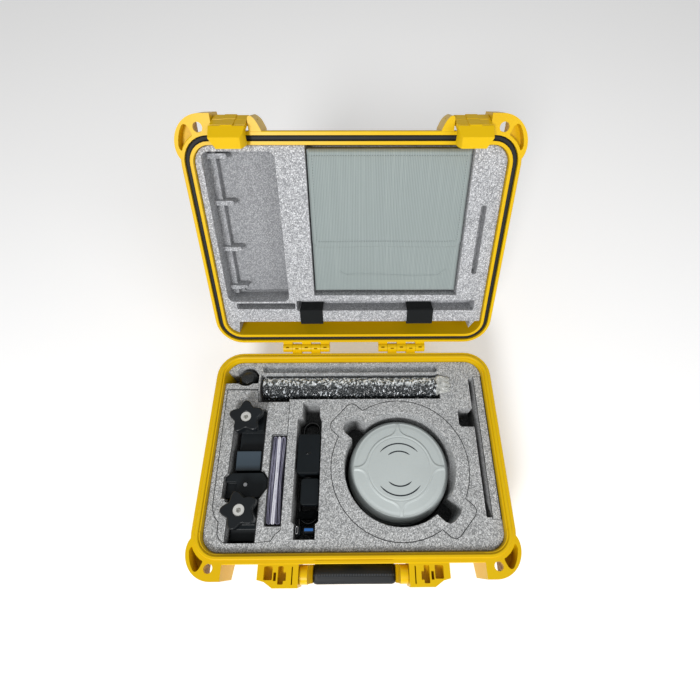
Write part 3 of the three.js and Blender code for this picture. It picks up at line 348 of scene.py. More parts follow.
def pouch_fabric():
    """Fine ribbed cloth: the ribs run down the pouch, with single darker and paler threads among them."""
    paint = Paint("pouch_fabric", (0.30, 0.345, 0.34), 0.88, Sheen_Weight=0.15)
    ribs = paint.wave(165, "X", distortion=0.3)
    weft = paint.wave(210, "Y", paint.scaled(turn=(-LID_SLOPE, 0, 0)))
    paint.tint(paint.ramp(ribs, (0.0, 1.0), (0.6, 0.0)), (0.165, 0.20, 0.197), 0.7)
    threads = paint.noise(420, 2, 0.5, paint.scaled(1, 0.02, 0.02))
    paint.tint(paint.ramp(threads, (0.5, 0.0), (0.7, 1.0)), (0.37, 0.42, 0.41), 0.3)
    paint.tint(paint.ramp(paint.noise(16, 4), (0.35, 0.0), (0.7, 1.0)), (0.25, 0.295, 0.285), 0.25)
    paint.bump(paint.math("ADD", ribs, paint.math("MULTIPLY", weft, 0.4)), 0.5, 0.0003)
    return paint.material


def bubble_film():
    """Crumpled film over a dark pole: painted reflections as white and grey glints, dark hollows that are
    partly the pole and partly painted shade, and a front darkened by painted shade.
    """
    paint = Paint("bubble_film", (0.15, 0.17, 0.18), 0.16, Coat_Weight=0.4, Coat_Roughness=0.08)
    # painted light: the back half, turned to the light, gets the white glints, and the front half gets
    # painted shade
    behind = paint.along(REAR, base_point(0, 60, 0).y, base_point(0, 54, 0).y)
    folds = paint.noise(190, 6, 0.75, paint.scaled(1.5, 1, 1))
    # dark patches in the crumples' hollows: partly the dark pole under the film, partly painted shade
    paint.tint(paint.ramp(folds, (0.42, 1.0), (0.54, 0.0)), (0.006, 0.008, 0.010), 1.0)
    paint.tint(paint.math("SUBTRACT", 1.0, behind), (0.006, 0.008, 0.010), 0.85)
    # painted reflections: white glints on the back half and grey glints all round
    glint_cells = paint.cells(520, output="Color", vector=paint.scaled(1, 0.7, 0.7, (0, 0, 0.6)))
    glints = paint.ramp(glint_cells, (0.50, 0.0), (0.60, 1.0))
    paint.tint(paint.math("MULTIPLY", glints, behind), (0.90, 0.94, 0.96), 1.0)
    paint.tint(paint.ramp(glint_cells, (0.76, 0.0), (0.84, 1.0)), (0.60, 0.64, 0.67), 0.85)
    paint.rough(folds, 0.08, 0.35)
    paint.bump(folds, 0.9, 0.0012)
    return paint.material


def clear_film():
    paint = Paint("clear_film", (0.47, 0.48, 0.46), 0.12, Coat_Weight=0.6, Coat_Roughness=0.05)
    folds = paint.noise(210, 5, 0.7)
    # painted shade in the crumples' hollows and painted highlights on their crests
    paint.tint(paint.ramp(folds, (0.36, 1.0), (0.48, 0.0)), (0.16, 0.17, 0.17), 0.8)
    paint.tint(paint.ramp(folds, (0.58, 0.0), (0.64, 1.0)), (0.92, 0.93, 0.92), 0.9)
    paint.bump(folds, 0.8, 0.001)
    return paint.material


def paper():
    paint = Paint("paper", (0.74, 0.74, 0.80), 0.6)
    paint.tint(paint.ramp(paint.noise(60, 3), (0.4, 0.0), (0.7, 1.0)), (0.60, 0.59, 0.70), 0.5)
    paint.bump(paint.noise(900, 3), 0.15, 0.0001)
    return paint.material


def plain(name, colour, rough, metal=0.0):
    paint = Paint(name, colour, rough, metal)
    paint.tint(paint.noise(90, 4), shade_of(colour, 0.75), 0.4)
    paint.bump(paint.noise(1500, 2), 0.12, 0.00008)
    return paint.material


def cable_jacket():
    paint = Paint("cable_jacket", (0.008, 0.009, 0.010), 0.16, Coat_Weight=0.6, Coat_Roughness=0.12)
    paint.tint(paint.noise(80, 3), (0.016, 0.018, 0.02), 0.5)
    paint.bump(paint.noise(700, 2), 0.15, 0.0001)
    return paint.material


def clamp_plastic():
    """Black plastic; the clamp's raised middle face gets a painted bluish-grey reflection, lightest near its
    upper edge.
    """
    paint = Paint("clamp_plastic", (0.006, 0.0085, 0.0105), 0.4, Specular_IOR_Level=0.35)
    front, back = (base_point(0, s, 0).y for s in (172, 146))
    # painted reflection on the raised middle face, fading out at both its edges
    face = paint.ramp(paint.along(REAR, front, back), (0.04, 0.0), (0.3, 0.75), (0.9, 1.0), (0.97, 0.0))
    paint.tint(face, (0.052, 0.075, 0.098), 0.9)
    grain = paint.noise(2400, 3)
    paint.rough(grain, 0.34, 0.52)
    paint.bump(grain, 0.25, 0.0001)
    return paint.material


# ---------------------------------------------------------------- mesh helpers
SAME_POINT = 0.00001
FLAT_ANGLE = math.radians(1.5)
ROUNDED_ANGLE = math.radians(28)


def smooth_normals(piece):
    normals = piece.modifiers.new("normals", "WEIGHTED_NORMAL")
    normals.keep_sharp = True


def thicken(piece, thickness, offset=-1.0):
    """Gives an open sheet its thickness; offset -1 adds it below the sheet, and 0 on both sides."""
    skin = piece.modifiers.new("thickness", "SOLIDIFY")
    skin.thickness = thickness
    skin.offset = offset


def dress(name, material, bevel):
    """Gives a CAD node its material, with its edges rounded and its curved faces smooth."""
    piece = nodes[name]
    piece.data.materials.clear()
    piece.data.materials.append(material)
    for polygon in piece.data.polygons:
        polygon.use_smooth = True
    weld = piece.modifiers.new("weld", "WELD")
    weld.merge_threshold = SAME_POINT
    flats = piece.modifiers.new("flats", "DECIMATE")
    flats.decimate_type = "DISSOLVE"
    flats.angle_limit = FLAT_ANGLE
    rounding = piece.modifiers.new("rounding", "BEVEL")
    rounding.width = bevel
    rounding.segments = 2
    rounding.limit_method = "ANGLE"
    rounding.angle_limit = ROUNDED_ANGLE
    rounding.harden_normals = True
    rounding.miter_outer = "MITER_ARC"
    smooth_normals(piece)


def new_piece(name, mesh, material, body, slot, *replaced):
    piece = bpy.data.objects.new(name, mesh)
    bpy.context.scene.collection.objects.link(piece)
    mesh.materials.append(material)
    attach(piece, body)
    if replaced:
        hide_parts(*replaced)
    return piece


def mesh_from(name, points, faces, rounded=True):
    mesh = bpy.data.meshes.new(name)
    mesh.from_pydata([tuple(p) for p in points], [], faces)
    mesh.validate()
    for polygon in mesh.polygons:
        polygon.use_smooth = rounded
    return mesh


def grid_faces(rows, columns, closed=False, first=0):
    """Quads of a grid of points in rows; closed joins each row's last point to its first."""
    faces = []
    for row in range(rows - 1):
        for column in range(columns if closed else columns - 1):
            following = (column + 1) % columns
            a = first + row * columns
            b = a + columns
            faces.append((a + column, a + following, b + following, b + column))
    return faces


def loft(name, rings, capped=True):
    """A skin over rings with the same number of points, with one face over each end when capped."""
    count = len(rings[0])
    points = [p for ring in rings for p in ring]
    faces = grid_faces(len(rings), count, True)
    if capped:
        faces.append(tuple(reversed(range(count))))
        faces.append(tuple(range(len(points) - count, len(points))))
    mesh = mesh_from(name, points, faces)
    fix = bmesh.new()
    fix.from_mesh(mesh)
    bmesh.ops.recalc_face_normals(fix, faces=fix.faces)
    fix.to_mesh(mesh)
    fix.free()
    return mesh


# ---------------------------------------------------------------- the cable
CORD_DIAMETER_MM = 3.6
HANK_X = -59.3  # the hank's middle; its two round ends' middles are at HANK_ENDS
HANK_ENDS = (111.5, 221.5)
HANK_RADIUS = 11.2
HANK_TURNS = 3
HANK_PITCH = 3.75
HANK_Z = RIM_Z_MM - 50
RUN_STEPS = 5
ARC_STEPS = 8
USB_A_TAIL = [
    (-48.8, 232.7, 0.3), (-49.3, 235.4, 1.1), (-50.2, 238.6, 3.2),
    (-51, 240.9, 6.4), (-51.4, 241.6, 9.6), (-51.4, 241.6, 12),
]
USB_C_TAIL = [
    (-70.3, 233, 11.4), (-69.9, 235.8, 12.4), (-69.2, 238.9, 14.6),
    (-68.6, 240.9, 17.8), (-68.4, 241.6, 20.6), (-68.4, 241.6, 23),
]


def hank_route():
    """The wound turns, from the USB-A end's run on the right side to the USB-C end's run on the left."""
    low, high = HANK_ENDS
    right, left = HANK_X + HANK_RADIUS, HANK_X - HANK_RADIUS
    arc = [math.pi * i / ARC_STEPS for i in range(1, ARC_STEPS)]
    route = []
    for turn in range(HANK_TURNS):
        route += [(right, high + (low - high) * i / RUN_STEPS) for i in range(RUN_STEPS + 1)]
        route += [(HANK_X + HANK_RADIUS * math.cos(a), low - HANK_RADIUS * math.sin(a)) for a in arc]
        route += [(left, low + (high - low) * i / RUN_STEPS) for i in range(RUN_STEPS + 1)]
        if turn < HANK_TURNS - 1:
            route += [(HANK_X - HANK_RADIUS * math.cos(a), high + HANK_RADIUS * math.sin(a)) for a in arc]
    travelled = 0.0
    lap = 2 * (high - low) + 2 * math.pi * HANK_RADIUS
    points = []
    for i, (x, s) in enumerate(route):
        if i:
            travelled += math.dist(route[i - 1], (x, s))
        points.append((x, s, HANK_PITCH * travelled / lap))
    return points


def add_cable():
    route = USB_A_TAIL[::-1] + hank_route() + USB_C_TAIL
    places = [base_point(x, s, HANK_Z + rise) for x, s, rise in route]
    curve = bpy.data.curves.new("usb_cable", "CURVE")
    curve.dimensions = "3D"
    curve.bevel_depth = CORD_DIAMETER_MM * MM / 2
    curve.bevel_resolution = 3
    curve.resolution_u = 6
    curve.use_fill_caps = True
    spline = curve.splines.new("BEZIER")
    spline.bezier_points.add(len(places) - 1)
    for point, place in zip(spline.bezier_points, places):
        point.co = place
        point.handle_left_type = "AUTO"
        point.handle_right_type = "AUTO"
    cable = bpy.data.objects.new("usb_cable", curve)
    bpy.context.scene.collection.objects.link(cable)
    cable.data.materials.append(cable_jacket())
    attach(cable, "case_base")
    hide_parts("cable_hank", "usb_a_tail", "usb_c_tail")


def smooth(low, high, value):
    """0 below low and 1 above high, with a soft step between them."""
    t = min(1.0, max(0.0, (value - low) / (high - low)))
    return t * t * (3 - 2 * t)


def on_line(points, position):
    """The second value of a list of (position, value) points, between its neighbours."""
    for (a, low), (b, high) in zip(points, points[1:]):
        if position <= b:
            return low + (high - low) * (position - a) / (b - a)
    return points[-1][1]


# ---------------------------------------------------------------- the receiver's cover
RECEIVER = (59.0, 168.5, 12.4)  # x, s and underside z
COVER_TOP = [  # radius and height of the cover's outside
    (0, 80), (40, 79.6), (54, 78.6), (58.6, 77.5), (59.8, 76.4),
    (62.6, 72.4), (65.2, 66), (66, 54), (66.01, 50.3),
]
COVER_INSIDE = [(66, 54), (66, 50.3), (63, 50.3), (62.8, 62), (60, 69.5), (54.5, 75), (2, 76.6)]
COVER_RADII = [0.6 * i for i in range(1, 98)]
COVER_RADII += [58.8, 59.3, 59.9, 60.6, 61.6, 62.6, 63.6, 64.5, 65.2, 65.6, 66.0]
COVER_TURNS = 360
CHAMFER_RADIUS = 59.9
PANEL_DROP = 1.05
PANEL_BLEND = 13.0
PANEL_LIP = 0.30
GROOVE_DEPTH = 0.5
RING_GROOVE = 40.4
# height under which painted shade darkens the cover's rim
COVER_SHADE_Z = (RECEIVER[2] + 76.8) * MM
DISC_RADIUS = 43.6
ARM_HALF_WIDTH = 2.1


def cover_height(radius, angle):
    """The moulded top: a disc with four arms that run out to the edge, and four lower panels between them."""
    height = on_line(COVER_TOP, radius)
    if radius > CHAMFER_RADIUS:
        return height
    turn = (angle + math.pi / 4) % (math.pi / 2) - math.pi / 4
    to_disc = radius - DISC_RADIUS
    to_arm = radius * abs(math.sin(turn)) - ARM_HALF_WIDTH
    h = min(1.0, max(0.0, 0.5 + 0.5 * (to_arm - to_disc) / PANEL_BLEND))
    edge = to_arm + (to_disc - to_arm) * h - PANEL_BLEND * h * (1 - h)
    fade = 1 - smooth(58.0, 59.8, radius)
    panel = -PANEL_DROP * smooth(-0.6, 0.7, edge) * fade
    lip = PANEL_LIP * math.exp(-((edge + 1.1) / 0.6) ** 2) * fade
    groove = -GROOVE_DEPTH * math.exp(-((radius - RING_GROOVE) / 0.55) ** 2)
    return height + panel + lip + groove


def on_receiver(radius, angle, height):
    x, s, z = RECEIVER
    return base_point(x + radius * math.cos(angle), s - radius * math.sin(angle), z + height)


def add_cover():
    """The cover: its moulded top and skirt outside, and a plain hollow inside."""
    angles = [2 * math.pi * i / COVER_TURNS for i in range(COVER_TURNS)]
    rings = [[on_receiver(radius, a, cover_height(radius, a)) for a in angles] for radius in COVER_RADII]
    rings += [[on_receiver(radius, a, height) for a in angles] for radius, height in COVER_INSIDE]
    name = "receiver_cover_moulded"
    shell = receiver_shell(edge=COVER_SHADE_Z)
    cover = new_piece(name, loft(name, rings), shell, "receiver", "receiver_white", "receiver_top_cover")
    smooth_normals(cover)


ARCS = [(33.2, 48, 90), (23.0, 38, 90), (32.8, 51, 270), (21.4, 43, 270)]  # radius, half angle, middle angle
ARC_STEPS_ROUND = 48
ARC_HALF_WIDTH = 0.85
ARC_RISE = 0.09
ARC_OFFSET_MM = 1.8


def add_cover_marks():
    """Four printed arcs, two behind and two in front of the cover's centre."""
    points = []
    faces = []
    for radius, half, middle in ARCS:
        rows = []
        for i in range(ARC_STEPS_ROUND + 1):
            angle = math.radians(middle - half + 2 * half * i / ARC_STEPS_ROUND)
            width = ARC_HALF_WIDTH * min(1.0, 0.25 + 6 * min(i, ARC_STEPS_ROUND - i) / ARC_STEPS_ROUND)
            for side, lift in ((-1, 0.0), (-1, ARC_RISE), (1, ARC_RISE), (1, 0.0)):
                r = radius + side * width
                spot = on_receiver(r, angle, cover_height(r, angle) + lift)
                rows.append(spot - REAR * ARC_OFFSET_MM * MM)
        faces += grid_faces(ARC_STEPS_ROUND + 1, 4, True, len(points))
        points += rows
    mesh = mesh_from("cover_marks", points, faces, False)
    new_piece("cover_marks", mesh, plain("mark_ink", (0.012, 0.018, 0.024), 0.5), "receiver", "black_plastic")


# ---------------------------------------------------------------- film, papers and pouch
POLE_S = 56.5
POLE_Z = RIM_Z_MM - 18.5
WRAP_RADIUS = 16.4
WRAP_X = (-127.0, 118.5)
WRAP_BORE = 14.2


def add_wrap():
    """Bubble wrap wound round the pole: crumpled outside, plain inside."""
    along, around = 250, 72
    angles = [2 * math.pi * j / around for j in range(around)]
    start, end = WRAP_X
    rings = []
    for i in range(along + 1):
        x = start + (end - start) * i / along
        ring = []
        for angle in angles:
            spot = Vector((x * 0.16, math.cos(angle) * 2.6, math.sin(angle) * 2.6))
            near = noise.voronoi(spot * 1.25)[0]
            crease = min(1.0, (near[1] - near[0]) * 2.2)
            radius = WRAP_RADIUS - 1.5 + 1.1 * crease
            radius += 0.8 * noise.noise(spot * 0.55)
            radius += 0.35 * noise.noise(spot * 4)
            ring.append(base_point(x, POLE_S + radius * math.cos(angle), POLE_Z + radius * math.sin(angle)))
        rings.append(ring)
    for x in (end, start):
        bore = [(POLE_S + WRAP_BORE * math.cos(a), POLE_Z + WRAP_BORE * math.sin(a)) for a in angles]
        rings.append([base_point(x, s, z) for s, z in bore])
    rings.append(rings[0])
    mesh = loft("bubble_wrap", rings, False)
    for polygon in mesh.polygons:
        polygon.use_smooth = False
    wrap = new_piece("bubble_wrap", mesh, bubble_film(), "pole", "bubble_film", "pole_wrap")
    weld = wrap.modifiers.new("weld", "WELD")
    weld.merge_threshold = 2 * SAME_POINT


def add_wrap_end():
    """The film's loose end, flattened over the foam beside the pole's pocket."""
    along, across = 34, 60
    points = []
    for i in range(along + 1):
        t = i / along
        for j in range(across + 1):
            angle = math.pi * (0.06 + 0.88 * j / across)
            rise = smooth(0.0, 0.3, t)
            spot = Vector((t * 4, angle * 3.4, 0))
            crumple = noise.noise(spot) + 0.6 * noise.noise(spot * 2.7)
            reach = 113 + (20.5 + 2.6 * noise.noise(Vector((angle * 4, 0, 3)))) * t
            half = 14.6 - 3.4 * t
            low = POLE_Z + 14.6 * math.sin(angle)
            high = RIM_Z_MM - 5.0 + 2.2 * math.sin(angle) + 1.2 * crumple * t
            z = max(low + (high - low) * rise, high - 16 * (1 - rise))
            s = POLE_S + half * math.cos(angle) + crumple * t
            points.append(base_point(reach + 0.8 * crumple * t, s, z))
    mesh = mesh_from("wrap_loose_end", points, grid_faces(along + 1, across + 1), False)
    piece = new_piece("wrap_loose_end", mesh, clear_film(), "pole", "bubble_film")
    thicken(piece, 0.0002)


PAPERS_S = (129, 235.5)
RIBBON_STEPS = 6
FOLD_STEPS = 8
SHEET_RUNS = 44
SHEETS = [(-98.2, 1.5, 1.1, 0.2), (-98.4, 0.7, 1.1, 0.2)]  # middle x, half width, wave and phase of each loop
SLEEVES = [(-103.6, 2.1, 0.6, 0.9), (-103.4, 1.0, 0.5, 1.3), (-93.6, 2.6, 0.7, 2.2), (-93.8, 1.2, 0.6, 2.0)]


def ribbon(path, low, high):
    """A standing strip of film or paper: path is (x, s) points, low and high its lower and upper edge."""
    points = []
    for x, s in path:
        for k in range(RIBBON_STEPS + 1):
            f = k / RIBBON_STEPS
            top = high + 0.5 * math.sin(s * 0.09 + x)
            lean = 0.5 * math.sin(s * 0.05 + 2 * f) * f
            points.append(base_point(x + lean, s, low + (top - low) * f))
    return points, grid_faces(len(path), RIBBON_STEPS + 1)


def folded_path(centre, half, wave, phase):
    """Down one side, round the fold and back up the other, closed at the far end as well."""
    s0, s1 = PAPERS_S
    length = s1 - s0 - 2 * half
    turns = [math.pi * i / FOLD_STEPS for i in range(1, FOLD_STEPS)]

    def middle(s):
        return centre + 0.6 * math.sin(s * 0.03)

    def sway(s):
        return wave * math.sin(s * 0.045 + phase)

    path = []
    for i in range(SHEET_RUNS + 1):
        s = s0 + half + length * i / SHEET_RUNS
        path.append((middle(s) - half + sway(s), s))
    for a in turns:
        path.append((middle(s1) - half * math.cos(a) + sway(s1), s1 - half + half * math.sin(a)))
    for i in range(SHEET_RUNS + 1):
        s = s1 - half - length * i / SHEET_RUNS
        path.append((middle(s) + half + sway(s), s))
    for a in turns:
        path.append((middle(s0) + half * math.cos(a) + sway(s0), s0 + half - half * math.sin(a)))
    path.append(path[0])
    return path


def sleeve_film():
    paint = Paint("sleeve_film", (0.23, 0.225, 0.31), 0.22, Coat_Weight=0.5, Coat_Roughness=0.1)
    streaks = paint.noise(120, 4, 0.6, paint.scaled(3, 0.3, 1))
    paint.tint(paint.ramp(streaks, (0.45, 0.0), (0.62, 1.0)), (0.50, 0.49, 0.60), 0.7)
    paint.bump(paint.noise(160, 3), 0.4, 0.0006)
    return paint.material


def add_papers():
    """Sheets folded into loops and stood on edge in their slot: film sleeves, with paper between them."""
    low, high = RIM_Z_MM - 38.5, RIM_Z_MM - 7.6
    for name, material, folds, thickness in (
        ("paper_sheets", paper(), SHEETS, 0.0009),
        ("film_sleeves", sleeve_film(), SLEEVES, 0.0004),
    ):
        points, faces = [], []
        for fold in folds:
            strip, quads = ribbon(folded_path(*fold), low, high)
            faces += [tuple(len(points) + n for n in quad) for quad in quads]
            points += strip
        piece = new_piece(name, mesh_from(name, points, faces), material, "papers", "paper")
        thicken(piece, thickness, 0)
    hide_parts("document_packet")


POUCH_X = (-51.4, 137.4)
POUCH_S = (85.6, 259.4)
POUCH_K = 9.0
FLAP_S = 147.0
HEM = 6.0
FLAP_HEM = 7.5
STITCH_STEP = 1.5
STITCH_HALF_WIDTH = 0.32


def pouch_front(x, s):
    """How far the pouch's front stands proud of its plane: puff, flap, hems and pocket edge."""
    left, right = x - POUCH_X[0], POUCH_X[1] - x
    low, high = s - POUCH_S[0], POUCH_S[1] - s
    rim = min(left, right, low, high)
    height = -2.6 * (1 - smooth(0, 3.5, rim)) ** 2
    puff = 0.7 * noise.noise(Vector((x * 0.018, s * 0.02, 1)))
    height += puff + 0.25 * noise.noise(Vector((x * 0.06, s * 0.05, 4)))
    side = min(left, right)
    flap_edge = FLAP_S + 0.5 * math.sin(x * 0.05) + 5.5 * (1 - smooth(0, 7, side))
    height += 1.7 * smooth(flap_edge - 0.45, flap_edge + 0.45, s)
    height -= 0.75 * math.exp(-((s - flap_edge - FLAP_HEM) / 0.8) ** 2)
    height -= 0.70 * math.exp(-((side - HEM) / 0.8) ** 2) * (s > flap_edge)
    height -= 0.70 * math.exp(-((high - HEM) / 0.8) ** 2)
    if -18 < x < 122:
        line = 109.5 + 1.2 * math.sin((x + 18) * 0.045)
        line += 7 * smooth(112, 122, x)
        line += 5 * (1 - smooth(-18, -8, x))
        height -= 1.0 * math.exp(-((s - line) / 0.6) ** 2)
        height += 0.9 * smooth(line - 3.2, line - 0.6, s) * (s < line)
    height += 0.25 * math.exp(-((s - 96) / 4.0) ** 2) * math.sin(x * 0.11)
    return height


def add_pouch():
    """The pouch: a modelled front, and sides that taper to a flat back."""
    across, up = 190, 232
    columns = across + 1
    (x0, x1), (s0, s1) = POUCH_X, POUCH_S
    xs = [x0 + (x1 - x0) * i / across for i in range(columns)]
    ss = [s0 + (s1 - s0) * j / up for j in range(up + 1)]
    points = [lid_point(x, s, POUCH_K - pouch_front(x, s)) for s in ss for x in xs]
    faces = grid_faces(up + 1, columns)
    rim = list(range(columns))
    rim += [columns * j + across for j in range(1, up + 1)]
    rim += [columns * up + i for i in range(across - 1, -1, -1)]
    rim += [columns * j for j in range(up - 1, 0, -1)]
    places = [(xs[n % columns], ss[n // columns]) for n in rim]
    middle_x, middle_s = (x0 + x1) / 2, (s0 + s1) / 2
    half_x, half_s = (x1 - x0) / 2, (s1 - s0) / 2
    rings = [rim]
    for inset, k in ((-0.3, 15), (0.0, 28), (3.0, 32.4)):
        start = len(points)
        for x, s in places:
            fx = middle_x + (x - middle_x) * (half_x - inset) / half_x
            fs = middle_s + (s - middle_s) * (half_s - inset) / half_s
            points.append(lid_point(fx, fs, k))
        rings.append(list(range(start, start + len(places))))
    for above, below in zip(rings, rings[1:]):
        for i in range(len(rim)):
            j = (i + 1) % len(rim)
            faces.append((above[j], above[i], below[i], below[j]))
    faces.append(tuple(rings[-1]))
    mesh = mesh_from("cloth_pouch", points, faces)
    pouch = new_piece("cloth_pouch", mesh, pouch_fabric(), "pouch", "pouch_fabric", "accessory_pouch")


def add_stitches():
    """Rows of single stitches along the pouch's hems and its flap."""
    rows = []
    for x in (POUCH_X[0] + HEM, POUCH_X[1] - HEM):
        rows.append([(x, FLAP_S + 9 + STITCH_STEP * i) for i in range(66)])
    for s in (FLAP_S + FLAP_HEM, POUCH_S[1] - HEM):
        rows.append([(POUCH_X[0] + 8 + STITCH_STEP * i, s) for i in range(116)])
    points, faces = [], []
    for row in rows:
        for n in range(0, len(row) - 1, 2):
            (x0, s0), (x1, s1) = row[n], row[n + 1]
            wide_x, wide_s = (STITCH_HALF_WIDTH, 0.0) if x0 == x1 else (0.0, STITCH_HALF_WIDTH)
            first = len(points)
            for lift in (-0.16, 0.2):
                for x, s, side in ((x0, s0, -1), (x0, s0, 1), (x1, s1, 1), (x1, s1, -1)):
                    k = POUCH_K - pouch_front(x, s) + lift
                    points.append(lid_point(x + side * wide_x, s + side * wide_s, k))
            faces.append(tuple(first + corner for corner in range(4)))
            faces += grid_faces(2, 4, True, first)
    mesh = mesh_from("pouch_stitches", points, faces, False)
    new_piece("pouch_stitches", mesh, plain("thread", (0.12, 0.14, 0.14), 0.8), "pouch", "pouch_fabric")


# ---------------------------------------------------------------- the cable's tie, and painted shadow in the foam's seams
SEAM_SHADOW_HALF_MM = 0.5
SEAM_SHADOW_RISE_MM = 0.04
LEVEL_NORMAL = 0.99
TOP_TOLERANCE = 0.0001


def top_outline(node, top):
    """The longest closed line round a foam insert's flat top, as world points in order."""
    grid = bmesh.new()
    grid.from_mesh(nodes[node].data)
    bmesh.ops.remove_doubles(grid, verts=grid.verts, dist=SAME_POINT)
    flat = set()
    for face in grid.faces:
        if face.normal.z > LEVEL_NORMAL and abs(face.calc_center_median().z - top) < TOP_TOLERANCE:
            flat.add(face)
    rim = [edge for edge in grid.edges if sum(face in flat for face in edge.link_faces) == 1]
    beside = {}
    for edge in rim:
        a, b = edge.verts
        beside.setdefault(a, []).append(b)
        beside.setdefault(b, []).append(a)
    loops = []
    while beside:
        start = next(iter(beside))
        loop, here = [start], start
        while beside.get(here):
            following = beside[here].pop()
            beside[following].remove(here)
            loop.append(following)
            here = following
        beside = {vertex: others for vertex, others in beside.items() if others}
        loops.append([vertex.co.copy() for vertex in loop])
    grid.free()
    return max(loops, key=lambda loop: sum((a - b).length for a, b in zip(loop, loop[1:])))


def add_seam_shadows():
    """Painted shadow in the saw cuts round the foam inserts: thin dark strips that follow the inserts' own
    outlines.
    """
    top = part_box("base_foam")[1][2]
    points, faces = [], []
    for node in ("receiver_foam_ring", "clamp_foam_insert", "side_foam_strip"):
        loop = top_outline(node, top)[:-1]
        first = len(points)
        for i, here in enumerate(loop):
            along = (loop[(i + 1) % len(loop)] - loop[i - 1]).normalized()
            out = Vector((along.y, -along.x, 0)) * SEAM_SHADOW_HALF_MM * MM
            low = here + UP * SEAM_SHADOW_RISE_MM * MM
            points += [low - out, low + out]
        for i in range(len(loop)):
            a, b = first + 2 * i, first + 2 * ((i + 1) % len(loop))
            faces.append((a, a + 1, b + 1, b))
    mesh = mesh_from("foam_seam_shadows", points, faces, False)
    shadow = plain("seam_shadow", (0.03, 0.03, 0.03), 0.95)
    thicken(new_piece("foam_seam_shadows", mesh, shadow, "case_base", "case_foam"), 0.0001)


TIE_S = 223.0
TIE_STEPS = 40
TIE_THICKNESS = 1.0


def add_tie():
    """A hook-and-loop strap round the wound cable: a flattened ring with thin edges and a narrow gap."""

    def squared(value):
        return max(-1.0, min(1.0, 1.35 * value))

    rings = []
    for along, thin in ((-4.5, 0.25), (-4.2, 0.0), (4.2, 0.0), (4.5, 0.25)):
        ring = []
        for outer in (True, False):
            grow = TIE_THICKNESS - thin if outer else thin
            for i in range(TIE_STEPS) if outer else reversed(range(TIE_STEPS)):
                angle = 2 * math.pi * i / (TIE_STEPS - 0.5)
                x = HANK_RADIUS * squared(math.cos(angle)) + (2.0 + grow) * math.cos(angle)
                z = 5.6 + 5.2 * squared(math.sin(angle)) + (2.2 + grow) * math.sin(angle)
                ring.append(base_point(HANK_X + x, TIE_S + along, HANK_Z + z))
        rings.append(ring)
    new_piece("cable_tie", loft("cable_tie", rings), webbing(), "case_base", "webbing")


# ---------------------------------------------------------------- grip, plugs and adapter
GRIP_HALF = 50.6
GRIP_S = 289.5
GRIP_Z = RIM_Z_MM - 16 - 39
GRIP_HALF_DEPTH = 11.9
GRIP_HALF_HEIGHT = 10.7


def grip_rubber():
    """Soft rubber with a row of small pale dimples along the sleeve's upper side."""
    paint = Paint("grip_rubber", (0.0035, 0.005, 0.007), 0.5, Specular_IOR_Level=0.3)
    paint.tint(paint.noise(60, 4), (0.008, 0.011, 0.014), 0.4)
    middle = base_point(0, GRIP_S + 1.5, 0).y
    across = paint.along(REAR, middle - 0.003, middle + 0.003)
    row = paint.ramp(across, (0.26, 0.0), (0.36, 1.0), (0.64, 1.0), (0.74, 0.0))
    dots = paint.math("MULTIPLY", paint.ramp(paint.wave(160, "X"), (0.45, 0.0), (0.7, 1.0)), row)
    paint.tint(dots, (0.055, 0.066, 0.082), 0.9)
    paint.bump(dots, 0.8, 0.0004)
    paint.bump(paint.noise(3200, 2), 0.2, 0.0001)
    return paint.material


def add_grip():
    """The rubber sleeve: an oval tube with fine flutes along it, a shallow waist and a seam."""
    along, around = 60, 192
    rings = []
    for i in range(along + 1):
        f = i / along
        x = -GRIP_HALF + 2 * GRIP_HALF * f
        end = min(1.0, min(f, 1 - f) * along / 3.4)
        scale = 0.82 + 0.18 * math.sqrt(max(0.0, 1 - (1 - end) ** 2)) - 0.018 * math.exp(-((x / 34) ** 2))
        ring = []
        for j in range(around):
            a = 2 * math.pi * j / around
            flute = 0.22 * (0.5 + 0.5 * math.cos(a * 48)) * end * (math.sin(a) > -0.2)
            seam = 0.35 * math.exp(-((a - 0.32) / 0.03) ** 2)
            reach = scale - (flute + seam) / 10
            s = GRIP_S + GRIP_HALF_DEPTH * reach * math.cos(a)
            ring.append(base_point(x, s, GRIP_Z + GRIP_HALF_HEIGHT * reach * math.sin(a)))
        rings.append(ring)
    mesh = loft("grip_sleeve", rings)
    new_piece("grip_sleeve", mesh, grip_rubber(), "carry_handle", "grip_rubber", "handle_grip")


def add_usb_a_tongue():
    """The blue tongue in the USB-A plug's open end, seen from above."""
    x, s, top = -54.2, 242.4, HANK_Z + 12.3 + 20 + 11
    corners = ((-1, -1), (1, -1), (1, 1), (-1, 1))
    box = [base_point(x + a * 5.2, s + b * 1.5 - 0.4, z) for z in (top - 0.3, top + 0.25) for a, b in corners]
    faces = [(0, 3, 2, 1), (4, 5, 6, 7)] + grid_faces(2, 4, True)
    blue = plain("plug_blue", (0.02, 0.12, 0.38), 0.35)
    mesh = mesh_from("usb_a_tongue", box, faces, False)
    new_piece("usb_a_tongue", mesh, blue, "case_base", "black_plastic")


def add_usb_c_lip():
    """The bright lip round the USB-C plug's open end, seen from above."""
    x, s, top = -68.2, 242.4, HANK_Z + 23.3 + 15 + 6
    rings = []
    low, high = top - 0.2, top + 0.25
    for half, z in ((0.0, low), (0.0, high), (0.5, high), (0.5, low), (0.0, low)):
        ring = []
        for i in range(32):
            a = 2 * math.pi * i / 32
            run = 2.7 if math.sin(a) >= 0 else -2.7
            r = 1.55 - half
            ring.append(base_point(x + r * math.cos(a), s + run + r * math.sin(a), z))
        rings.append(ring)
    lip = loft("usb_c_lip", rings, False)
    new_piece("usb_c_lip", lip, steel("lip_steel", (0.80, 0.80, 0.82), 0.25), "case_base", "steel")


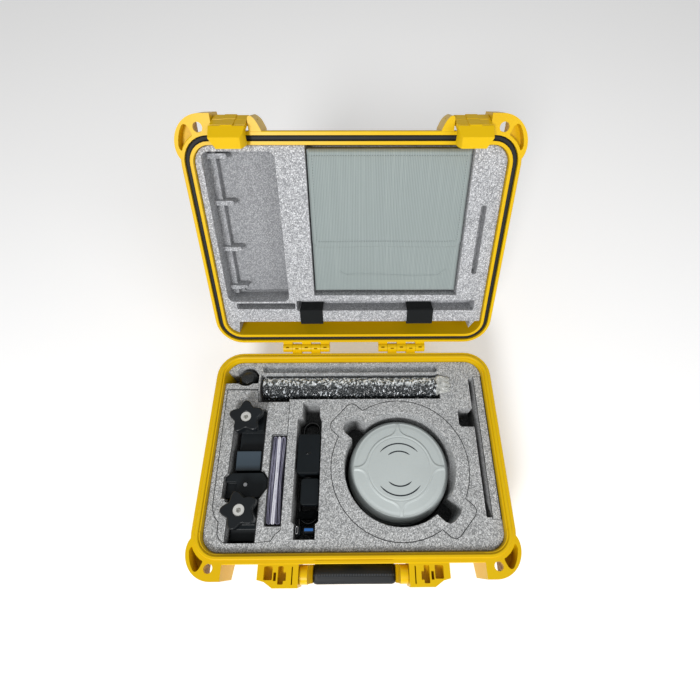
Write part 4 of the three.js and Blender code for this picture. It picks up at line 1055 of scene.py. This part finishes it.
def add_charger_bar():
    """A small plain dark bar on the charger's top."""
    low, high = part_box("wall_charger")
    middle = Vector([(a + b) / 2 for a, b in zip(low, high)])
    middle.z = high[2]
    rings = []
    for half, rise in ((0.75, -0.3), (0.75, 0.12), (0.55, 0.2)):
        ring = []
        for i in range(24):
            angle = 2 * math.pi * i / 24
            run = 2.5 if math.cos(angle) >= 0 else -2.5
            ring.append(middle + Vector((run + half * math.cos(angle), half * math.sin(angle), rise)) * MM)
        rings.append(ring)
    gloss = black_plastic("bar_gloss", (0.001, 0.001, 0.0012), 0.15, 0.5)
    new_piece("charger_bar", loft("charger_bar", rings), gloss, "charger", "black_plastic")


def add_adapter_eyelets():
    """Three small steel eyelets set into the adapter's ball."""
    centre = Vector((-152, 41, RIM_Z_MM - 6 - 33.6))
    points, faces = [], []
    for turn, tilt in ((95, 24), (215, 30), (320, 27)):
        a, b = math.radians(turn), math.radians(tilt)
        out = Vector((math.sin(b) * math.cos(a), -math.sin(b) * math.sin(a), math.cos(b)))
        side = out.orthogonal().normalized()
        over = out.cross(side)
        spot = centre + Vector((0, 0, 16)) + out * 14.1
        first = len(points)
        for radius, lift in ((2.3, -0.8), (2.3, 0.35), (1.2, 0.35), (1.1, -0.8)):
            for i in range(20):
                t = 2 * math.pi * i / 20
                p = spot + side * radius * math.cos(t) + over * radius * math.sin(t) + out * lift
                points.append(base_point(p.x, p.y, p.z))
        faces += grid_faces(4, 20, True, first)
    mesh = mesh_from("adapter_eyelets", points, faces)
    metal = plain("eyelet_steel", (0.62, 0.63, 0.64), 0.3, 0.4)
    new_piece("adapter_eyelets", mesh, metal, "adapter", "steel")


# ---------------------------------------------------------------- CAD nodes in their materials
def dress_nodes():
    yellow = yellow_plastic()
    foam_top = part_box("base_foam")[1][2]
    # painted shade: the base foam darkens deeper in its pockets, and the lid foam deeper in its recesses
    base_pocket_shade = (UP, foam_top - 0.010, foam_top - 0.045, (0.035, 0.037, 0.038), 0.8)
    lid_face = LID_BACK.dot(lid_point(0, 100, 8))
    lid_pocket_shade = (LID_BACK, lid_face + 0.006, lid_face + 0.028, (0.20, 0.205, 0.215), 0.5)
    base_foam = bead_foam("base_foam_beads", *FOAM_COLOURS, base_pocket_shade)
    ring_foam = bead_foam("ring_foam_beads", *FOAM_COLOURS)
    lid_foam = bead_foam("lid_foam_beads", *LID_FOAM_COLOURS, lid_pocket_shade)
    rubber = black_rubber()
    plastic = black_plastic()
    metal = steel()
    lower = receiver_shell("receiver_lower_shell", (0.36, 0.385, 0.375))
    brass = steel("brass", (0.72, 0.52, 0.22), 0.3)
    bottom_screws = [f"bottom_screw_{n}" for n in (1, 2, 3, 4)]
    pins = [f"{part}_pin_{side}" for part in ("hinge", "handle", "latch") for side in ("left", "right")]
    charger = black_plastic("charger_plastic", (0.005, 0.0075, 0.0095), 0.5, 0.2)
    knobs = black_plastic("knob_plastic", (0.006, 0.008, 0.010), 0.3, 0.4)
    looks = [  # node names, material and the width of the rounded edges
        (("base_shell", "lid_shell"), yellow, 0.0006),
        (("handle_frame",), yellow, 0.0009),
        (("latch_left", "latch_right"), yellow, 0.0004),
        (("base_foam", "clamp_foam_insert", "side_foam_strip"), base_foam, 0.0012),
        (("receiver_foam_ring",), ring_foam, 0.0025),
        (("lid_foam",), lid_foam, 0.0012),
        (("lid_gasket", "data_port_cover", "power_button"), rubber, 0.0003),
        (pins, metal, 0.0002),
        ((*bottom_screws, "clamp_screw"), metal, 0.0002),
        (("knob_upper_screw", "knob_lower_screw"), plain("zinc", (0.78, 0.78, 0.75), 0.38, 0.45), 0.0004),
        (("board_shield", "antenna_ground_plane"), metal, 0.0002),
        (("clamp_block", "clamp_tail"), plastic, 0.0009),
        (("clamp_arm",), clamp_plastic(), 0.0009),
        (("wall_charger", "usb_hub_block"), charger, 0.0009),
        (("usb_a_plug", "usb_c_plug"), plastic, 0.0003),
        (("purge_valve", "status_window"), plastic, 0.0003),
        (("strap_left", "strap_right"), webbing(), 0.0003),
        (("receiver_bumper_ring", "receiver_lower_housing", "receiver_bottom_plate"), lower, 0.0004),
        (("pole_thread_insert", "uhf_antenna_port"), brass, 0.0002),
        (("battery_pack",), plain("battery_wrap", (0.05, 0.16, 0.42), 0.4), 0.0004),
        (("inner_chassis",), plain("chassis_alloy", (0.26, 0.27, 0.29), 0.45, 0.8), 0.0003),
        (("main_board",), plain("circuit_board", (0.02, 0.16, 0.07), 0.45), 0.0001),
        (("gnss_patch_antenna",), plain("antenna_ceramic", (0.66, 0.58, 0.42), 0.5), 0.0004),
        (("extension_pole",), plain("pole_tube", (0.05, 0.055, 0.06), 0.4, 0.6), 0.0003),
        (("knob_upper", "knob_lower"), knobs, 0.0008),
        (("pole_adapter",), black_plastic("adapter_plastic", (0.011, 0.013, 0.014), 0.24, 0.7), 0.0003),
    ]
    for names, material, bevel in looks:
        for name in names:
            dress(name, material, bevel)


# ---------------------------------------------------------------- making
add_camera()
add_cable()
add_stage()
dress_nodes()
add_cover()
add_cover_marks()
add_seam_shadows()
add_tie()
add_wrap()
add_wrap_end()
add_papers()
add_pouch()
add_stitches()
add_grip()
add_usb_a_tongue()
add_usb_c_lip()
add_charger_bar()
add_adapter_eyelets()
